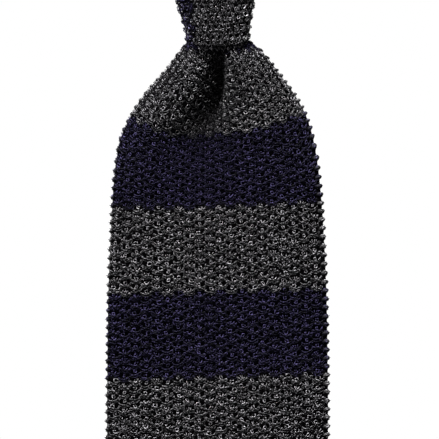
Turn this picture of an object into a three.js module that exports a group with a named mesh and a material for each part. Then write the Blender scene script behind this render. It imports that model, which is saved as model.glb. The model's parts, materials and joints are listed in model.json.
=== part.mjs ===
// A knitted silk necktie with square ends and cross stripes, tied in a four-in-hand knot
// with one dimple, in the form it has round a neck. It is a flat knitted tube all the way,
// so every stretch of it is two layers of knit thick.
// Millimetres, +Z up. The front faces -Y. The origin is on the inner face of the neck band,
// in the middle of the back, where the tie sits on the neck.

import * as THREE from 'three';

// Cloth
const CLOTH = 3.2; // both layers of the flattened tube
const PACKED_CLOTH = 4; // a stretch that is gathered and squeezed inside the knot
const KNOT_WALL = 2.8; // the wrap, pulled tight
const CLEARANCE = 0.35; // between pieces that lie on each other
const BLADE_WIDTH = 70;
const BLADE_LENGTH = 460; // below the knot
const TAIL_WIDTH = 45;
const TAIL_LENGTH = 395; // below the knot
const BAND_WIDTH = 34;
const CORNER = 2; // rounding of the square ends

// Neck, measured inside the band
const NECK_HALF_WIDTH = 62;
const NECK_HALF_DEPTH = 60;
const BAND_GATHER = 5; // how much narrower the band is where it leaves the neck
const BAND_DROP = 41; // how much lower the loop would be at the front than at the back

// Knot, seen from the front
const KNOT_BOTTOM = -92;
const KNOT_HEIGHT = 36;
const MEETING_HEIGHT = -76; // inside the knot, where each hidden stretch passes into an end
const MEETING_DROP = KNOT_BOTTOM - MEETING_HEIGHT + CLEARANCE; // of the ends, below the lower edge

// Knot, from the neck forwards: the riser, the back of the wrap, the band's ends with the
// tail, the blade on its way down, and the front of the wrap
const NECK_FRONT = -2 * NECK_HALF_DEPTH;
const RISER_Y = NECK_FRONT - CLEARANCE - CLOTH / 2;
const WRAP_BACK = RISER_Y - CLOTH / 2 - CLEARANCE;
const ENDS_Y = WRAP_BACK - KNOT_WALL - CLEARANCE - PACKED_CLOTH / 2;
const PLUG_Y = ENDS_Y - PACKED_CLOTH - CLEARANCE;
const WRAP_FRONT = PLUG_Y - PACKED_CLOTH / 2 - CLEARANCE - KNOT_WALL;
const KNOT_MIDDLE = (WRAP_BACK + WRAP_FRONT) / 2;
const KNOT_HALF_DEPTH = (WRAP_BACK - WRAP_FRONT) / 2;

// Hanging planes of the two ends, at the middle of the cloth
const BLADE_Y = WRAP_FRONT + 2.9;
const TAIL_Y = BLADE_Y + CLOTH + 0.5;

// How far below the knot each end has spread out of its gathers to the cloth's own thickness
const BLADE_SPREADS_OVER = 3.6;
const TAIL_SPREADS_OVER = 8;

// Silk yarn in the two colours of the stripes
const CHARCOAL = new THREE.MeshStandardMaterial({ color: 0x3a3a3d, roughness: 0.6, metalness: 0 });
const NAVY = new THREE.MeshStandardMaterial({ color: 0x1d1c3b, roughness: 0.6, metalness: 0 });

// The wrap's outline. rise is the height above its lower edge, and shift moves it sideways.
const WRAP_OUTLINE = [
  { rise: 0, halfWidth: 9.6, fullness: 0.97, shift: -0.3 },
  { rise: 4, halfWidth: 9.8, fullness: 1.0, shift: -0.3 },
  { rise: 13, halfWidth: 11.7, fullness: 1.0, shift: -0.8 },
  { rise: 24, halfWidth: 14.2, fullness: 1.0, shift: -1.1 },
  { rise: 36, halfWidth: 16.6, fullness: 0.98, shift: -1.3 },
];
const WRAP_SQUARENESS = 3.4; // exponent of its rounded plan outside, 2 for an ellipse
const WRAP_INNER_SQUARENESS = 5.2; // a tighter corner inside keeps the wall even
const WRAP_LIFT_LEFT = 1.2; // how far its lower edge climbs at each side
const WRAP_LIFT_RIGHT = 2.2;
const WRAP_TOP_SLANT = 1; // its upper edge is this much higher on the right than in the middle

// The blade below the knot. drop is measured down from the wrap's lower edge, left and right
// are the visible half widths, bulge stands forward of the hanging plane, valley is the depth
// of the dimple at valleyX, and sweep is how far the edges fall back.
const BLADE_FOLDS = [
  { drop: MEETING_DROP, left: 5.9, right: 4.9, bulge: 0, valley: 0, valleyX: -0.6, sweep: 0 },
  { drop: -0.8, left: 5.9, right: 5.4, bulge: 0, valley: 0, valleyX: -0.6, sweep: 0.2 },
  { drop: 0.9, left: 9.4, right: 9.6, bulge: 0.5, valley: 1.3, valleyX: -0.6, sweep: 1.6 },
  { drop: 2.2, left: 12.0, right: 13.4, bulge: 1.2, valley: 3.0, valleyX: -0.6, sweep: 3.6 },
  { drop: 4.7, left: 13.6, right: 15.9, bulge: 1.5, valley: 3.9, valleyX: -0.8, sweep: 5.2 },
  { drop: 8.5, left: 17.0, right: 19.3, bulge: 1.6, valley: 4.1, valleyX: -1.1, sweep: 6.2 },
  { drop: 12.2, left: 20.4, right: 22.1, bulge: 1.5, valley: 3.9, valleyX: -1.5, sweep: 6.6 },
  { drop: 16, left: 23.5, right: 24.8, bulge: 1.4, valley: 3.3, valleyX: -2.2, sweep: 6.5 },
  { drop: 23.5, left: 28.2, right: 28.6, bulge: 1.1, valley: 1.8, valleyX: -5.0, sweep: 5.4 },
  { drop: 31, left: 31.2, right: 30.7, bulge: 0.7, valley: 0.8, valleyX: -8.0, sweep: 4.0 },
  { drop: 42, left: 32.8, right: 32.3, bulge: 0.4, valley: 0.2, valleyX: -9.0, sweep: 2.6 },
  { drop: 58, left: 33.8, right: 33.6, bulge: 0.1, valley: 0, valleyX: -9.0, sweep: 1.3 },
  { drop: 82, left: 34.7, right: 34.6, bulge: 0, valley: 0, valleyX: -9.0, sweep: 0.4 },
  { drop: 110, left: BLADE_WIDTH / 2, right: BLADE_WIDTH / 2, bulge: 0, valley: 0, valleyX: -9.0, sweep: 0 },
];
const DIMPLE_REACH_LEFT = 0.5; // share of the half width that slopes into the dimple
const DIMPLE_REACH_RIGHT = 0.34;
const EDGE_THINNESS = 0.35; // thickness left at a rounded edge, as a share of the full one

// The tail below the knot. back is how far it lies behind its hanging plane.
const TAIL_FOLDS = [
  { drop: MEETING_DROP, halfWidth: 5.2, back: ENDS_Y - TAIL_Y },
  { drop: 0, halfWidth: 5.2, back: ENDS_Y - TAIL_Y },
  { drop: 3, halfWidth: 7.5, back: ENDS_Y - TAIL_Y },
  { drop: 10, halfWidth: 11, back: 2.5 },
  { drop: 20, halfWidth: 14, back: 1.7 },
  { drop: 35, halfWidth: 16.3, back: 0.6 },
  { drop: 60, halfWidth: 17.6, back: 0 },
  { drop: 150, halfWidth: 19.4, back: 0 },
  { drop: TAIL_LENGTH, halfWidth: TAIL_WIDTH / 2, back: 0 },
];

// One end of the band from where it leaves the neck down into the knot, on the right side.
const BAND_END_ROUTE = [
  { x: 26, y: -118.2, z: -40.5, halfWidth: 11.5 },
  { x: 12.9, y: ENDS_Y + 0.5, z: -47.2, halfWidth: 5.6 },
  { x: 7.4, y: ENDS_Y, z: -54.8, halfWidth: 4.2 },
  { x: 5.2, y: ENDS_Y, z: -65, halfWidth: 3.6 },
  { x: 4.6, y: ENDS_Y, z: MEETING_HEIGHT + CLEARANCE, halfWidth: 3.4 },
];
const BAND_LEAVES_NECK = 138; // degrees round from the back

// The blade's way up behind the knot, over the meeting of the band's ends and down inside
// the wrap. saddle is how far its edges stand away from the fold's middle.
const PASSAGE = [
  { y: RISER_Y, z: -86, halfWidth: 7.2, half: CLOTH / 2, saddle: 0 },
  { y: RISER_Y, z: -72, halfWidth: 7.8, half: CLOTH / 2, saddle: 0 },
  { y: RISER_Y, z: -57.5, halfWidth: 8, half: CLOTH / 2, saddle: 0.2 },
  { y: RISER_Y - 1, z: -52.2, halfWidth: 7.6, half: CLOTH / 2, saddle: 2.6 },
  { y: RISER_Y - 4, z: -49.2, halfWidth: 7.1, half: CLOTH / 2, saddle: 5.2 },
  { y: PLUG_Y + 4, z: -49.2, halfWidth: 7.1, half: CLOTH / 2, saddle: 5.2 },
  { y: PLUG_Y + 1, z: -52.2, halfWidth: 7.4, half: CLOTH / 2, saddle: 2.6 },
  { y: PLUG_Y, z: -58.5, halfWidth: 8, half: CLOTH / 2, saddle: 0.2 },
  { y: PLUG_Y, z: -68, halfWidth: 7, half: PACKED_CLOTH / 2, saddle: 0 },
  { y: PLUG_Y, z: MEETING_HEIGHT, halfWidth: 6, half: PACKED_CLOTH / 2, saddle: 0 },
];

const SADDLE_CURVE = 1.3; // exponent of the saddle's cross curve

// Number of faces
const ACROSS = 22; // steps across a wide stretch of cloth
const ROUND_WRAP = 36;
const ACROSS_BAND = 8;
const BAND_STEPS = 26; // from the middle of the back to where the band leaves the neck
const STEPS_A_LEG = 3; // on the way from there into the knot

// Value at a place in a table, eased through its neighbours without overshooting them
function tableValue(table, key, column, place) {
  const last = table.length - 1;
  if (place <= table[0][key]) return table[0][column];
  if (place >= table[last][key]) return table[last][column];
  const i = table.findIndex((row) => row[key] > place) - 1;
  const slope = (j) => (table[j + 1][column] - table[j][column]) / (table[j + 1][key] - table[j][key]);
  const tangent = (j) => {
    if (j === 0) return slope(0);
    if (j === last) return slope(last - 1);
    const before = slope(j - 1);
    const after = slope(j);
    return before * after <= 0 ? 0 : (2 * before * after) / (before + after);
  };
  const span = table[i + 1][key] - table[i][key];
  const t = (place - table[i][key]) / span;
  const start = (1 + 2 * t) * (1 - t) ** 2;
  const end = t * t * (3 - 2 * t);
  return start * table[i][column] + t * (1 - t) ** 2 * span * tangent(i)
    + end * table[i + 1][column] - t * t * (1 - t) * span * tangent(i + 1);
}

// Share of the full thickness at a place across the cloth, 0 at one edge and 1 at the other
function edgeRounding(across, width) {
  const fromEdge = Math.min(across, 1 - across) * width;
  const radius = CLOTH / 2;
  if (fromEdge >= radius) return 1;
  return EDGE_THINNESS + (1 - EDGE_THINNESS) * Math.sqrt(1 - (1 - fromEdge / radius) ** 2);
}

// Places across a stretch of cloth, closer together at its edges
function placesAcross(steps) {
  const even = Array.from({ length: steps - 1 }, (_, i) => (i + 0.5) / (steps - 1));
  return [0, ...even, 1];
}

// One slice of cloth: a row of points on its face and a row on its back
function clothSlice(middles, normals, halves) {
  const face = middles.map((p, i) => p.clone().addScaledVector(normals[i], halves[i]));
  const back = middles.map((p, i) => p.clone().addScaledVector(normals[i], -halves[i]));
  return { face, back };
}

// Outward normals in a horizontal slice whose points run from -X to +X
function planNormals(middles) {
  return middles.map((_, i) => {
    const before = middles[Math.max(i - 1, 0)];
    const after = middles[Math.min(i + 1, middles.length - 1)];
    return new THREE.Vector3(after.y - before.y, before.x - after.x, 0).normalize();
  });
}

// Geometry from points and triangles, turned so that its faces point out
function closedBody(points, triangles) {
  let volume = 0;
  for (const [a, b, c] of triangles) {
    volume += points[a].dot(new THREE.Vector3().crossVectors(points[b], points[c]));
  }
  const index = triangles.flatMap(([a, b, c]) => (volume < 0 ? [a, c, b] : [a, b, c]));
  const geometry = new THREE.BufferGeometry();
  geometry.setFromPoints(points);
  geometry.setIndex(index);
  geometry.computeVertexNormals();
  return geometry;
}

// A run of cloth slices, closed at both ends
function clothBody(slices) {
  const count = slices[0].face.length;
  const ring = 2 * count;
  const points = slices.flatMap(({ face, back }) => [...face, ...[...back].reverse()]);
  const triangles = [];
  const quad = (a, b, c, d) => triangles.push([a, b, c], [a, c, d]);
  for (let s = 0; s + 1 < slices.length; s += 1) {
    for (let i = 0; i < ring; i += 1) {
      const j = (i + 1) % ring;
      quad(s * ring + i, s * ring + j, (s + 1) * ring + j, (s + 1) * ring + i);
    }
  }
  const lastRing = (slices.length - 1) * ring;
  for (let i = 0; i + 1 < count; i += 1) {
    const facing = ring - 1 - i;
    quad(i, facing, facing - 1, i + 1);
    quad(lastRing + i, lastRing + i + 1, lastRing + facing - 1, lastRing + facing);
  }
  return closedBody(points, triangles);
}

// A run of closed slices that comes back to its start
function ringBody(slices) {
  const count = slices[0].length;
  const total = slices.length * count;
  const triangles = [];
  for (let s = 0; s < slices.length; s += 1) {
    for (let i = 0; i < count; i += 1) {
      const j = (i + 1) % count;
      const a = s * count + i;
      const b = s * count + j;
      const c = (b + count) % total;
      const d = (a + count) % total;
      triangles.push([a, b, c], [a, c, d]);
    }
  }
  return closedBody(slices.flat(), triangles);
}

// Drops at which an end is sliced: each row of its table, halfway between rows near the
// knot, and the rounded corners of its square end
function slicingDrops(table, length) {
  const nearKnot = 40;
  const rows = table.map((row) => row.drop).filter((drop) => drop < length);
  const between = rows.slice(1).map((drop, i) => (drop + rows[i]) / 2).filter((drop) => drop < nearKnot);
  const corner = [length - CORNER, length - CORNER / 3, length];
  return [...rows, ...between, ...corner].sort((a, b) => a - b);
}

// How much narrower and thinner an end is where its corners are rounded
function endRounding(drop, length) {
  const past = Math.max(0, drop - (length - CORNER)) / CORNER;
  return { inset: CORNER * (1 - Math.sqrt(1 - past ** 2)), thickness: 1 - past ** 2 / 2 };
}

// 1 where an end is packed inside the knot, falling to 0 as it spreads out below
function packing(drop, from, spreadsOver) {
  return THREE.MathUtils.clamp(1 - (drop - from) / spreadsOver, 0, 1);
}

// The wide end: gathered at the knot round its dimple, then hanging flat
function frontBlade() {
  const value = (column, drop) => tableValue(BLADE_FOLDS, 'drop', column, drop);
  const slices = slicingDrops(BLADE_FOLDS, BLADE_LENGTH).map((drop) => {
    const { inset, thickness } = endRounding(drop, BLADE_LENGTH);
    const valleyX = value('valleyX', drop);
    const left = inset - value('left', drop);
    const right = value('right', drop) - inset;
    const packed = packing(drop, BLADE_FOLDS[1].drop, BLADE_SPREADS_OVER);
    const plane = THREE.MathUtils.lerp(BLADE_Y, PLUG_Y, packed) - value('bulge', drop);
    const places = placesAcross(ACROSS);
    const middles = places.map((across) => {
      const x = THREE.MathUtils.lerp(left, right, across);
      const reach = x < valleyX ? DIMPLE_REACH_LEFT : DIMPLE_REACH_RIGHT;
      const side = Math.abs((x - valleyX) / ((x < valleyX ? left : right) - valleyX));
      const slope = Math.min(side / reach, 1);
      const valley = value('valley', drop) * Math.cos((slope * Math.PI) / 2) ** 2;
      const y = plane + valley + value('sweep', drop) * side ** 3;
      return new THREE.Vector3(x, y, KNOT_BOTTOM - drop);
    });
    const half = THREE.MathUtils.lerp(CLOTH, PACKED_CLOTH, packed) / 2;
    const halves = places.map((across) => half * thickness * edgeRounding(across, right - left));
    return clothSlice(middles, planNormals(middles), halves);
  });
  return clothBody(slices);
}

// The narrow end behind it
function tailBlade() {
  const value = (column, drop) => tableValue(TAIL_FOLDS, 'drop', column, drop);
  const slices = slicingDrops(TAIL_FOLDS, TAIL_LENGTH).map((drop) => {
    const { inset, thickness } = endRounding(drop, TAIL_LENGTH);
    const halfWidth = value('halfWidth', drop) - inset;
    const packed = packing(drop, TAIL_FOLDS[1].drop, TAIL_SPREADS_OVER);
    const y = TAIL_Y + value('back', drop);
    const places = placesAcross(ACROSS / 2);
    const middles = places.map((across) => new THREE.Vector3(
      halfWidth * (2 * across - 1), y, KNOT_BOTTOM - drop));
    const half = THREE.MathUtils.lerp(CLOTH, PACKED_CLOTH, packed) / 2;
    const halves = places.map((across) => half * thickness * edgeRounding(across, 2 * halfWidth));
    return clothSlice(middles, planNormals(middles), halves);
  });
  return clothBody(slices);
}

// Stations of the band round the right half of the neck. outward is the way its face looks,
// and atKnot says how much it follows the knot's lean.
function bandRoundNeck() {
  return Array.from({ length: BAND_STEPS + 1 }, (_, i) => {
    const turn = THREE.MathUtils.degToRad((BAND_LEAVES_NECK * i) / BAND_STEPS);
    const outward = new THREE.Vector3(Math.sin(turn) / NECK_HALF_WIDTH, Math.cos(turn) / NECK_HALF_DEPTH, 0);
    outward.normalize();
    const place = new THREE.Vector3(
      NECK_HALF_WIDTH * Math.sin(turn),
      NECK_HALF_DEPTH * (Math.cos(turn) - 1),
      (BAND_DROP * (Math.cos(turn) - 1)) / 2,
    ).addScaledVector(outward, CLOTH / 2);
    const halfWidth = (BAND_WIDTH - BAND_GATHER * THREE.MathUtils.smoothstep(i / BAND_STEPS, 0.55, 1)) / 2;
    return { place, outward, halfWidth, atKnot: 0, packed: 0 };
  });
}

// Stations from there into the knot
function bandIntoKnot(leaving) {
  const legs = BAND_END_ROUTE.length;
  const corners = BAND_END_ROUTE.map(({ x, y, z }) => new THREE.Vector3(x, y, z));
  const route = new THREE.CatmullRomCurve3([leaving.place, ...corners], false, 'centripetal');
  const widths = [leaving.halfWidth, ...BAND_END_ROUTE.map((row) => row.halfWidth)];
  const forwards = new THREE.Vector3(0, -1, 0);
  return Array.from({ length: STEPS_A_LEG * legs }, (_, i) => {
    const t = (i + 1) / (STEPS_A_LEG * legs);
    const leg = Math.min(Math.floor(t * legs), legs - 1);
    return {
      place: route.getPoint(t),
      outward: leaving.outward.clone().lerp(forwards, THREE.MathUtils.smoothstep(t, 0, 0.45)).normalize(),
      halfWidth: THREE.MathUtils.lerp(widths[leg], widths[leg + 1], t * legs - leg),
      atKnot: THREE.MathUtils.smoothstep(t, 0, 0.4),
      packed: THREE.MathUtils.smoothstep(t, 0.5, 0.7),
    };
  });
}

// The loop round the neck, from its left end inside the knot to its right one
function neckBand() {
  const roundNeck = bandRoundNeck();
  const right = [...roundNeck, ...bandIntoKnot(roundNeck[BAND_STEPS])];
  const mirror = (vector) => new THREE.Vector3(-vector.x, vector.y, vector.z);
  const left = right.slice(1).reverse().map((station) => (
    { ...station, place: mirror(station.place), outward: mirror(station.outward) }));
  const stations = [...left, ...right];
  stations.forEach(({ place, atKnot }) => place.setX(place.x + atKnot * knotShift(place.z)));
  const slices = stations.map(({ place, outward, halfWidth, packed }, i) => {
    const before = stations[Math.max(i - 1, 0)].place;
    const after = stations[Math.min(i + 1, stations.length - 1)].place;
    const along = after.clone().sub(before).normalize();
    const normal = outward.clone().addScaledVector(along, -outward.dot(along)).normalize();
    const up = new THREE.Vector3().crossVectors(normal, along);
    const half = THREE.MathUtils.lerp(CLOTH, PACKED_CLOTH, packed) / 2;
    const places = placesAcross(ACROSS_BAND);
    const middles = places.map((across) => place.clone().addScaledVector(up, halfWidth * (1 - 2 * across)));
    const halves = places.map((across) => half * edgeRounding(across, 2 * halfWidth));
    return clothSlice(middles, places.map(() => normal), halves);
  });
  return clothBody(slices);
}

// How far the knot leans to the left at a height
function knotShift(z) {
  return tableValue(WRAP_OUTLINE, 'rise', 'shift', z - KNOT_BOTTOM);
}

// The blade's hidden way up behind the knot, over its top and down inside the wrap
function knotPassage() {
  const slices = PASSAGE.map(({ y, z, halfWidth, half, saddle }, i) => {
    const before = PASSAGE[Math.max(i - 1, 0)];
    const after = PASSAGE[Math.min(i + 1, PASSAGE.length - 1)];
    const normal = new THREE.Vector3(0, before.z - after.z, after.y - before.y).normalize().negate();
    const places = placesAcross(ACROSS / 2);
    const middles = places.map((across) => {
      const side = 2 * across - 1;
      return new THREE.Vector3(side * halfWidth + knotShift(z), y, z)
        .addScaledVector(normal, saddle * Math.abs(side) ** SADDLE_CURVE);
    });
    const halves = places.map((across) => half * edgeRounding(across, 2 * halfWidth));
    return clothSlice(middles, places.map(() => normal), halves);
  });
  return clothBody(slices);
}

// A point of the wrap's plan at a height, on its outside or a distance inside it
function wrapPoint(turn, rise, inside, height) {
  const halfWidth = tableValue(WRAP_OUTLINE, 'rise', 'halfWidth', rise) - inside;
  const halfDepth = KNOT_HALF_DEPTH * tableValue(WRAP_OUTLINE, 'rise', 'fullness', rise) - inside;
  const squareness = THREE.MathUtils.lerp(WRAP_SQUARENESS, WRAP_INNER_SQUARENESS, inside / KNOT_WALL);
  const bend = (value) => Math.sign(value) * Math.abs(value) ** (2 / squareness);
  const shift = tableValue(WRAP_OUTLINE, 'rise', 'shift', rise);
  const x = shift + halfWidth * bend(Math.cos(turn));
  const y = KNOT_MIDDLE + halfDepth * bend(Math.sin(turn));
  return new THREE.Vector3(x, y, height);
}

// The turn of the blade that goes round the knot and shows as its front
function knotWrap() {
  const edge = KNOT_WALL / 2;
  const slices = Array.from({ length: ROUND_WRAP }, (_, s) => {
    const turn = (2 * Math.PI * (s + 0.5)) / ROUND_WRAP;
    const sideways = Math.sign(Math.cos(turn)) * Math.abs(Math.cos(turn)) ** (2 / WRAP_SQUARENESS);
    const lift = (sideways < 0 ? WRAP_LIFT_LEFT : WRAP_LIFT_RIGHT) * sideways ** 2;
    const rimTop = KNOT_HEIGHT + WRAP_TOP_SLANT * sideways;
    const height = (rise) => KNOT_BOTTOM + lift + (rise * (rimTop - lift)) / KNOT_HEIGHT;
    const rises = [edge, 5, 10, 16, 23, 30, KNOT_HEIGHT - edge];
    const point = (rise, inside) => wrapPoint(turn, rise, inside, height(rise));
    const outside = rises.map((rise) => point(rise, 0));
    const inside = [...rises].reverse().map((rise) => point(rise, KNOT_WALL));
    const turnIn = 0.4 * edge;
    const turnUp = 0.3 * edge;
    const roundedRim = (rim, way) => (
      [point(rim + way * turnUp, turnIn), point(rim, edge), point(rim + way * turnUp, KNOT_WALL - turnIn)]);
    const upper = roundedRim(KNOT_HEIGHT, -1);
    const lower = roundedRim(0, 1).reverse();
    return [...outside, ...upper, ...inside, ...lower];
  });
  return ringBody(slices);
}

function piece(name, geometry, material) {
  const mesh = new THREE.Mesh(geometry, material.clone());
  mesh.name = name;
  return mesh;
}

const necktie = new THREE.Group();
necktie.add(
  piece('neck_band', neckBand(), NAVY),
  piece('knot_wrap', knotWrap(), CHARCOAL),
  piece('knot_passage', knotPassage(), CHARCOAL),
  piece('front_blade', frontBlade(), CHARCOAL),
  piece('tail_blade', tailBlade(), NAVY),
);

export default necktie;
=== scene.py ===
"""Looks of a knitted silk necktie tied in a four-in-hand knot.

Every stretch of the tie is a flattened knitted tube. Each one is dressed as a thin dark cloth, the
shadowed inner loops of the knit, with the yarn loops that show lying on it, stitch by stitch.
Sizes are in millimetres, as in the CAD source, and become metres where a mesh is made.
"""

import json
import logging
import math
from collections.abc import Callable
from dataclasses import dataclass, field
from enum import Enum

import bpy
import numpy as np
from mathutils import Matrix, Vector

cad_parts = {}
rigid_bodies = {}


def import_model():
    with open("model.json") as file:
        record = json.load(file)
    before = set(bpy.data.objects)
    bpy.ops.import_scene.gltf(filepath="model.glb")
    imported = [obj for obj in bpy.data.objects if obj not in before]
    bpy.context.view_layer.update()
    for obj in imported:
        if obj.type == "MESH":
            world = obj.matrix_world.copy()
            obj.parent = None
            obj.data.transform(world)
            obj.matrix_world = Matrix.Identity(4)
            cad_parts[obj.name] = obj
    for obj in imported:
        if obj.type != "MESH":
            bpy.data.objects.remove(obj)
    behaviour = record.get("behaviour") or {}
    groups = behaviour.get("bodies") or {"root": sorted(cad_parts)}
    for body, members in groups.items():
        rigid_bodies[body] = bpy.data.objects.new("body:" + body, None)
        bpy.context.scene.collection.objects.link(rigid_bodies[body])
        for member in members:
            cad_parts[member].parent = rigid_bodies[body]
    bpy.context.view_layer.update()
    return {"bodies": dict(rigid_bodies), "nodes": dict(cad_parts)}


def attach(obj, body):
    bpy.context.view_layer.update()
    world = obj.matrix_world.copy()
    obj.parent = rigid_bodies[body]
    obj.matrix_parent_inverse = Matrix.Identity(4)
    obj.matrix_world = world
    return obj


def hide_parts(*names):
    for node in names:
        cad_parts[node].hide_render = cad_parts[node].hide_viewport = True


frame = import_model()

MM = 0.001
LOG = logging.getLogger("necktie")

# Cloth, as in the CAD source
CLOTH = 3.2
PACKED_CLOTH = 4.0
KNOT_WALL = 2.8
CLEARANCE = 0.35
BLADE_WIDTH = 70.0
BLADE_LENGTH = 460.0
TAIL_WIDTH = 45.0
TAIL_LENGTH = 395.0
BAND_WIDTH = 34.0

# Neck and knot, as in the CAD source
NECK_HALF_WIDTH = 62.0
NECK_HALF_DEPTH = 60.0
BAND_GATHER = 5.0
BAND_DROP = 41.0
BAND_LEAVES_NECK = 138.0
KNOT_BOTTOM = -92.0
KNOT_HEIGHT = 36.0
MEETING_HEIGHT = -76.0
NECK_FRONT = -2 * NECK_HALF_DEPTH
RISER_Y = NECK_FRONT - CLEARANCE - CLOTH / 2
WRAP_BACK = RISER_Y - CLOTH / 2 - CLEARANCE
ENDS_Y = WRAP_BACK - KNOT_WALL - CLEARANCE - PACKED_CLOTH / 2
PLUG_Y = ENDS_Y - PACKED_CLOTH - CLEARANCE
WRAP_FRONT = PLUG_Y - PACKED_CLOTH / 2 - CLEARANCE - KNOT_WALL
KNOT_MIDDLE = (WRAP_BACK + WRAP_FRONT) / 2
KNOT_HALF_DEPTH = (WRAP_BACK - WRAP_FRONT) / 2
BLADE_Y = WRAP_FRONT + 2.9
TAIL_Y = BLADE_Y + CLOTH + 0.5
TAIL_BACK = ENDS_Y - TAIL_Y
# The hanging ends start inside the knot. A drop is counted down from the knot's lower rim
ENDS_FROM = KNOT_BOTTOM - MEETING_HEIGHT + CLEARANCE

# Knit, measured on the photograph
COLUMN_PITCH = 3.32
ROW_PITCH = 2.67
ROWS_A_STRIPE = 10
COURSE_RISE = 0.033  # how much the courses of the blade climb to the right

# Corners, faces and the painted light of each corner of one strand of yarn, a factor on its colour that
# stands for highlight and shade
Strand = tuple[np.ndarray, list, np.ndarray]


class Yarn(Enum):
    """The two colours of the stripes."""

    CHARCOAL = 0
    NAVY = 1

    @property
    def word(self) -> str:
        """The colour as it stands in the names of pieces and slots."""
        return self.name.lower()

    @property
    def slot(self) -> str:
        """The record's slot for silk of this colour."""
        return f"{self.word}_silk"


class Detail(Enum):
    """How a loop is drawn.

    Not at all where it can't be seen, plainly, strand by strand, or as the bundle that turns over
    the edge of the tube.
    """

    HIDDEN = 0
    PLAIN = 1
    FINE = 2
    EDGE = 3


class LoopTop(Enum):
    """What shows on top of a loop that is drawn strand by strand."""

    EYE = 0
    HOOK = 1
    FAN = 2


class Held(Enum):
    """How a stretch of cloth is held."""

    HUNG = "hung"
    FOLDED = "folded"


@dataclass(frozen=True)
class Table:
    """A short table with named columns, read at any place along its first column."""

    columns: tuple[str, ...]
    rows: tuple[tuple[float, ...], ...]

    def value(self, column: str, place: np.ndarray) -> np.ndarray:
        """Reads one column, eased through its neighbours without overshooting them.

        Args:
            column: name of the column to read.
            place: places along the first column.

        Returns:
            The column's value at each place.
        """
        grid = np.array(self.rows)
        keys = grid[:, 0]
        values = grid[:, self.columns.index(column)]
        spans = np.diff(keys)
        slopes = np.diff(values) / spans
        before = slopes[:-1]
        after = slopes[1:]
        agree = before * after > 0
        total = np.where(agree, before + after, 1.0)
        inner = np.where(agree, 2 * before * after / total, 0.0)
        tangents = np.concatenate([slopes[:1], inner, slopes[-1:]])
        held = np.clip(place, keys[0], keys[-1])
        i = np.clip(np.searchsorted(keys, held, side="right") - 1, 0, len(spans) - 1)
        t = (held - keys[i]) / spans[i]
        start = (1 + 2 * t) * (1 - t) ** 2
        end = t * t * (3 - 2 * t)
        leaving = t * (1 - t) ** 2 * spans[i] * tangents[i]
        arriving = t * t * (1 - t) * spans[i] * tangents[i + 1]
        return start * values[i] + leaving + end * values[i + 1] - arriving


# The knot by height over its lower rim: half its width, its share of the full depth and its lean
WRAP_OUTLINE = Table(
    ("rise", "half_width", "fullness", "shift"),
    (
        (0.0, 9.6, 0.97, 0.0),
        (4.0, 9.8, 1.0, 0.0),
        (13.0, 11.7, 1.0, -0.5),
        (24.0, 14.2, 1.0, -0.8),
        (36.0, 16.6, 0.98, -1.0),
    ),
)

# How the blade opens below the knot: where its edges lie, how far its front bulges, how deep the
# dimple is and where, how sharp its crease is, and how far back the edges sweep
BLADE_FOLDS = Table(
    ("drop", "left", "right", "bulge", "valley", "valley_x", "crease", "sweep"),
    (
        (ENDS_FROM, 5.9, 4.9, 0.0, 0.0, 2.4, 1.0, 0.0),
        (-2.6, 6.3, 6.0, 0.0, 0.0, 2.4, 1.0, 0.2),
        (-0.8, 9.4, 10.6, 0.3, 1.6, 2.5, 1.0, 1.2),
        (0.6, 11.0, 12.6, 0.6, 3.8, 2.6, 1.0, 2.2),
        (2.2, 12.3, 14.2, 1.2, 6.2, 2.6, 1.0, 3.6),
        (4.7, 14.0, 16.4, 1.5, 7.8, 2.6, 1.0, 5.2),
        (8.5, 17.0, 19.3, 1.6, 8.6, 2.4, 1.0, 6.2),
        (12.2, 20.4, 22.1, 1.5, 8.6, 2.3, 1.0, 6.6),
        (16.0, 23.5, 24.8, 1.4, 8.2, 1.5, 0.85, 6.5),
        (23.5, 28.2, 28.6, 1.1, 5.2, -3.0, 0.4, 5.4),
        (31.0, 31.2, 30.7, 0.7, 2.6, -8.0, 0.1, 4.0),
        (42.0, 32.8, 32.3, 0.4, 0.5, -10.0, 0.0, 2.6),
        (58.0, 33.8, 33.6, 0.1, 0.0, -10.0, 0.0, 1.3),
        (82.0, 34.7, 34.6, 0.0, 0.0, -10.0, 0.0, 0.4),
        (110.0, 35.0, 35.0, 0.0, 0.0, -10.0, 0.0, 0.0),
    ),
)

# Painted shade in the dimple, by drop: where it is darkest, how far it reaches to each side and how much
# it darkens the loops
DIMPLE_PAINTED_SHADE = Table(
    ("drop", "middle", "reach_left", "reach_right", "amount"),
    (
        (-4.0, 0.0, 5.0, 5.0, 0.3),
        (3.8, -2.0, 4.5, 7.5, 0.72),
        (11.3, -1.5, 9.0, 13.0, 0.96),
        (15.0, -2.0, 12.0, 16.0, 0.97),
        (18.8, -4.5, 12.0, 18.0, 0.96),
        (22.6, -8.0, 12.0, 20.0, 0.88),
        (26.4, -12.0, 12.0, 22.0, 0.8),
        (34.0, -13.0, 12.0, 20.0, 0.0),
    ),
)

# Where the stripes lie on the blade. cloth is the length of knit from the first stripe that starts
# below the knot, sag is how much lower its courses hang in the middle than at the edges, and climb
# is the share of COURSE_RISE that they take
BLADE_COURSES = Table(
    ("drop", "cloth", "sag", "climb"),
    (
        (ENDS_FROM, -17.15, 1.2, 0.0),
        (1.5, 0.0, 1.2, 0.0),
        (12.0, 10.8, 4.6, 0.4),
        (26.5, 25.1, 8.0, 1.0),
        (38.0, 38.9, 3.6, 1.0),
        (51.4, 54.9, 0.6, 1.0),
        (77.9, 81.0, 0.0, 1.0),
        (104.6, 107.8, 0.0, 1.0),
        (500.0, 502.2, 0.0, 1.0),
    ),
)

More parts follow.
